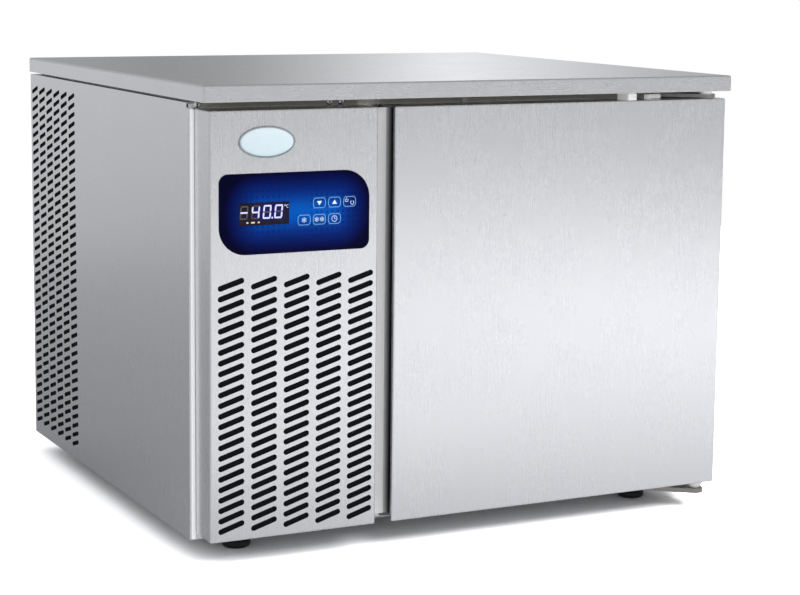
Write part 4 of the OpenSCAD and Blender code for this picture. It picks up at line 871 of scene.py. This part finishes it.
def background():
    """White for the camera and for passed rays; a pale room, darker behind the unit, for the others.

    Mirrored rays meet only a small share of the white, because in a white room alone the steel would
    show no shading.
    """
    mirrored_share = 0.04
    world = bpy.data.worlds.new("studio")
    world.use_nodes = True
    scene.world = world
    g = Graph("studio", world.node_tree)
    out = g.add("ShaderNodeOutputWorld")
    room = g.add("ShaderNodeBackground")
    white = g.add("ShaderNodeBackground")
    white.inputs[0].default_value = (1, 1, 1, 1)
    x, y, z = g.axes(g.add("ShaderNodeTexCoord").outputs["Generated"])
    height = g.remap(z, -1.0, 1.0, 0.0, 1.0)
    ahead = g.ramp(height, cool((
        (0.0, 0.34), (0.44, 0.40), (0.49, 0.45), (0.52, 0.70), (0.62, 0.62), (1.0, 0.40))))
    behind = g.ramp(height, cool((
        (0.0, 0.20), (0.43, 0.50), (0.48, 0.72), (0.495, 0.72), (0.51, 0.27), (0.60, 0.28), (1.0, 0.32))))
    side = g.math("SUBTRACT", g.math("MULTIPLY", x, 0.35), g.math("MULTIPLY", y, 0.94))
    around = g.mix(g.remap(side, -0.35, 0.45, 0.0, 1.0), behind, ahead)
    # a tall soft light far behind on the right, which the worktop shows as a pale band
    angle = g.math("ARCTAN2", x, y)
    turn = g.remap(angle, math.radians(10), math.radians(50), 0.0, 1.0)
    band = g.ramp(turn, cool((
        (0.0, 0.24), (0.14, 0.16), (0.25, 0.0), (0.30, 0.06), (0.36, 0.34), (0.45, 1.0),
        (0.50, 0.72), (0.58, 0.36), (0.66, 0.14), (0.8, 0.05), (1.0, 0.0))))
    low = g.remap(z, 0.0, 0.02, 0.0, 1.0)
    high = g.remap(z, 0.25, 0.6, 1.0, 0.0)
    glow = g.mix(g.math("MULTIPLY", low, high), (0, 0, 0), band)
    g.join(g.mix(1.0, around, glow, "ADD"), room.inputs[0])
    mix = g.add("ShaderNodeMixShader")
    ray = g.add("ShaderNodeLightPath")
    mirrored = g.math("MULTIPLY", ray.outputs["Is Glossy Ray"], mirrored_share)
    g.join(g.math("MAXIMUM", seen_or_passed(g, ray), mirrored), mix.inputs[0])
    g.join(room.outputs[0], mix.inputs[1])
    g.join(white.outputs[0], mix.inputs[2])
    g.join(mix.outputs[0], out.inputs[0])


def floor_plane():
    """A plain pale sheet, on which the unit's shadow stays.

    Camera rays and passed rays meet it much whiter away from the unit, and mirrored rays meet a plain
    pale grey.
    """
    left, right, front, rear = -2.4, 2.8, -3.4, 1.9
    corners = ((left, front, 0), (right, front, 0), (right, rear, 0), (left, rear, 0))
    bm = bmesh.new()
    bm.faces.new([bm.verts.new(p) for p in corners])
    me = bpy.data.meshes.new("floor")
    bm.to_mesh(me)
    bm.free()
    floor = bpy.data.objects.new("floor", me)
    scene.collection.objects.link(floor)
    f = Graph("floor")
    f.bs(Base_Color=(0.80, 0.80, 0.80, 1), Roughness=0.85)
    near = f.add("ShaderNodeAmbientOcclusion", samples=16)
    near.inputs["Distance"].default_value = 0.12
    # the sheet's brightness from the line where the unit meets it out to the open
    seen_colour = f.ramp(near.outputs["AO"], (
        (0.0, 0.7, 0.7, 0.72), (0.2, 2.0, 2.0, 2.0), (0.4, 3.1, 3.1, 3.1), (0.6, 3.5, 3.5, 3.5),
        (0.8, 3.6, 3.6, 3.6)))
    mirrored_colour = (0.765, 0.765, 0.775)
    ray = f.add("ShaderNodeLightPath")
    clear = seen_or_passed(f, ray)
    seen = f.add("ShaderNodeBsdfDiffuse")
    f.join(f.mix(clear, mirrored_colour, seen_colour), seen.inputs[0])
    both = f.add("ShaderNodeMixShader")
    f.join(f.math("MAXIMUM", clear, ray.outputs["Is Glossy Ray"]), both.inputs[0])
    f.join(f.bsdf.outputs[0], both.inputs[1])
    f.join(seen.outputs[0], both.inputs[2])
    f.join(both.outputs[0], f.out.inputs[0])
    floor.data.materials.append(f.mat)


def studio():
    background()
    floor_plane()
    # each lamp's place, target and size in metres, and its power in watts
    area("pool", (1.15, -1.75, 1.6), (1.15, -1.75, 0.0), (1.2, 1.6), 46, (0.98, 0.99, 1.0))
    area("key", (0.4, -3.2, 2.6), (0.0, -0.2, 0.3), (1.6, 1.2), 20)
    area("kick", (-0.1, -0.95, 0.16), (-0.1, -0.26, 0.0), (0.9, 0.16), 0.6)
    area("fill", (-2.4, -1.2, 1.9), (-0.2, 0.0, 0.3), (1.4, 1.4), 1.5)


studio()
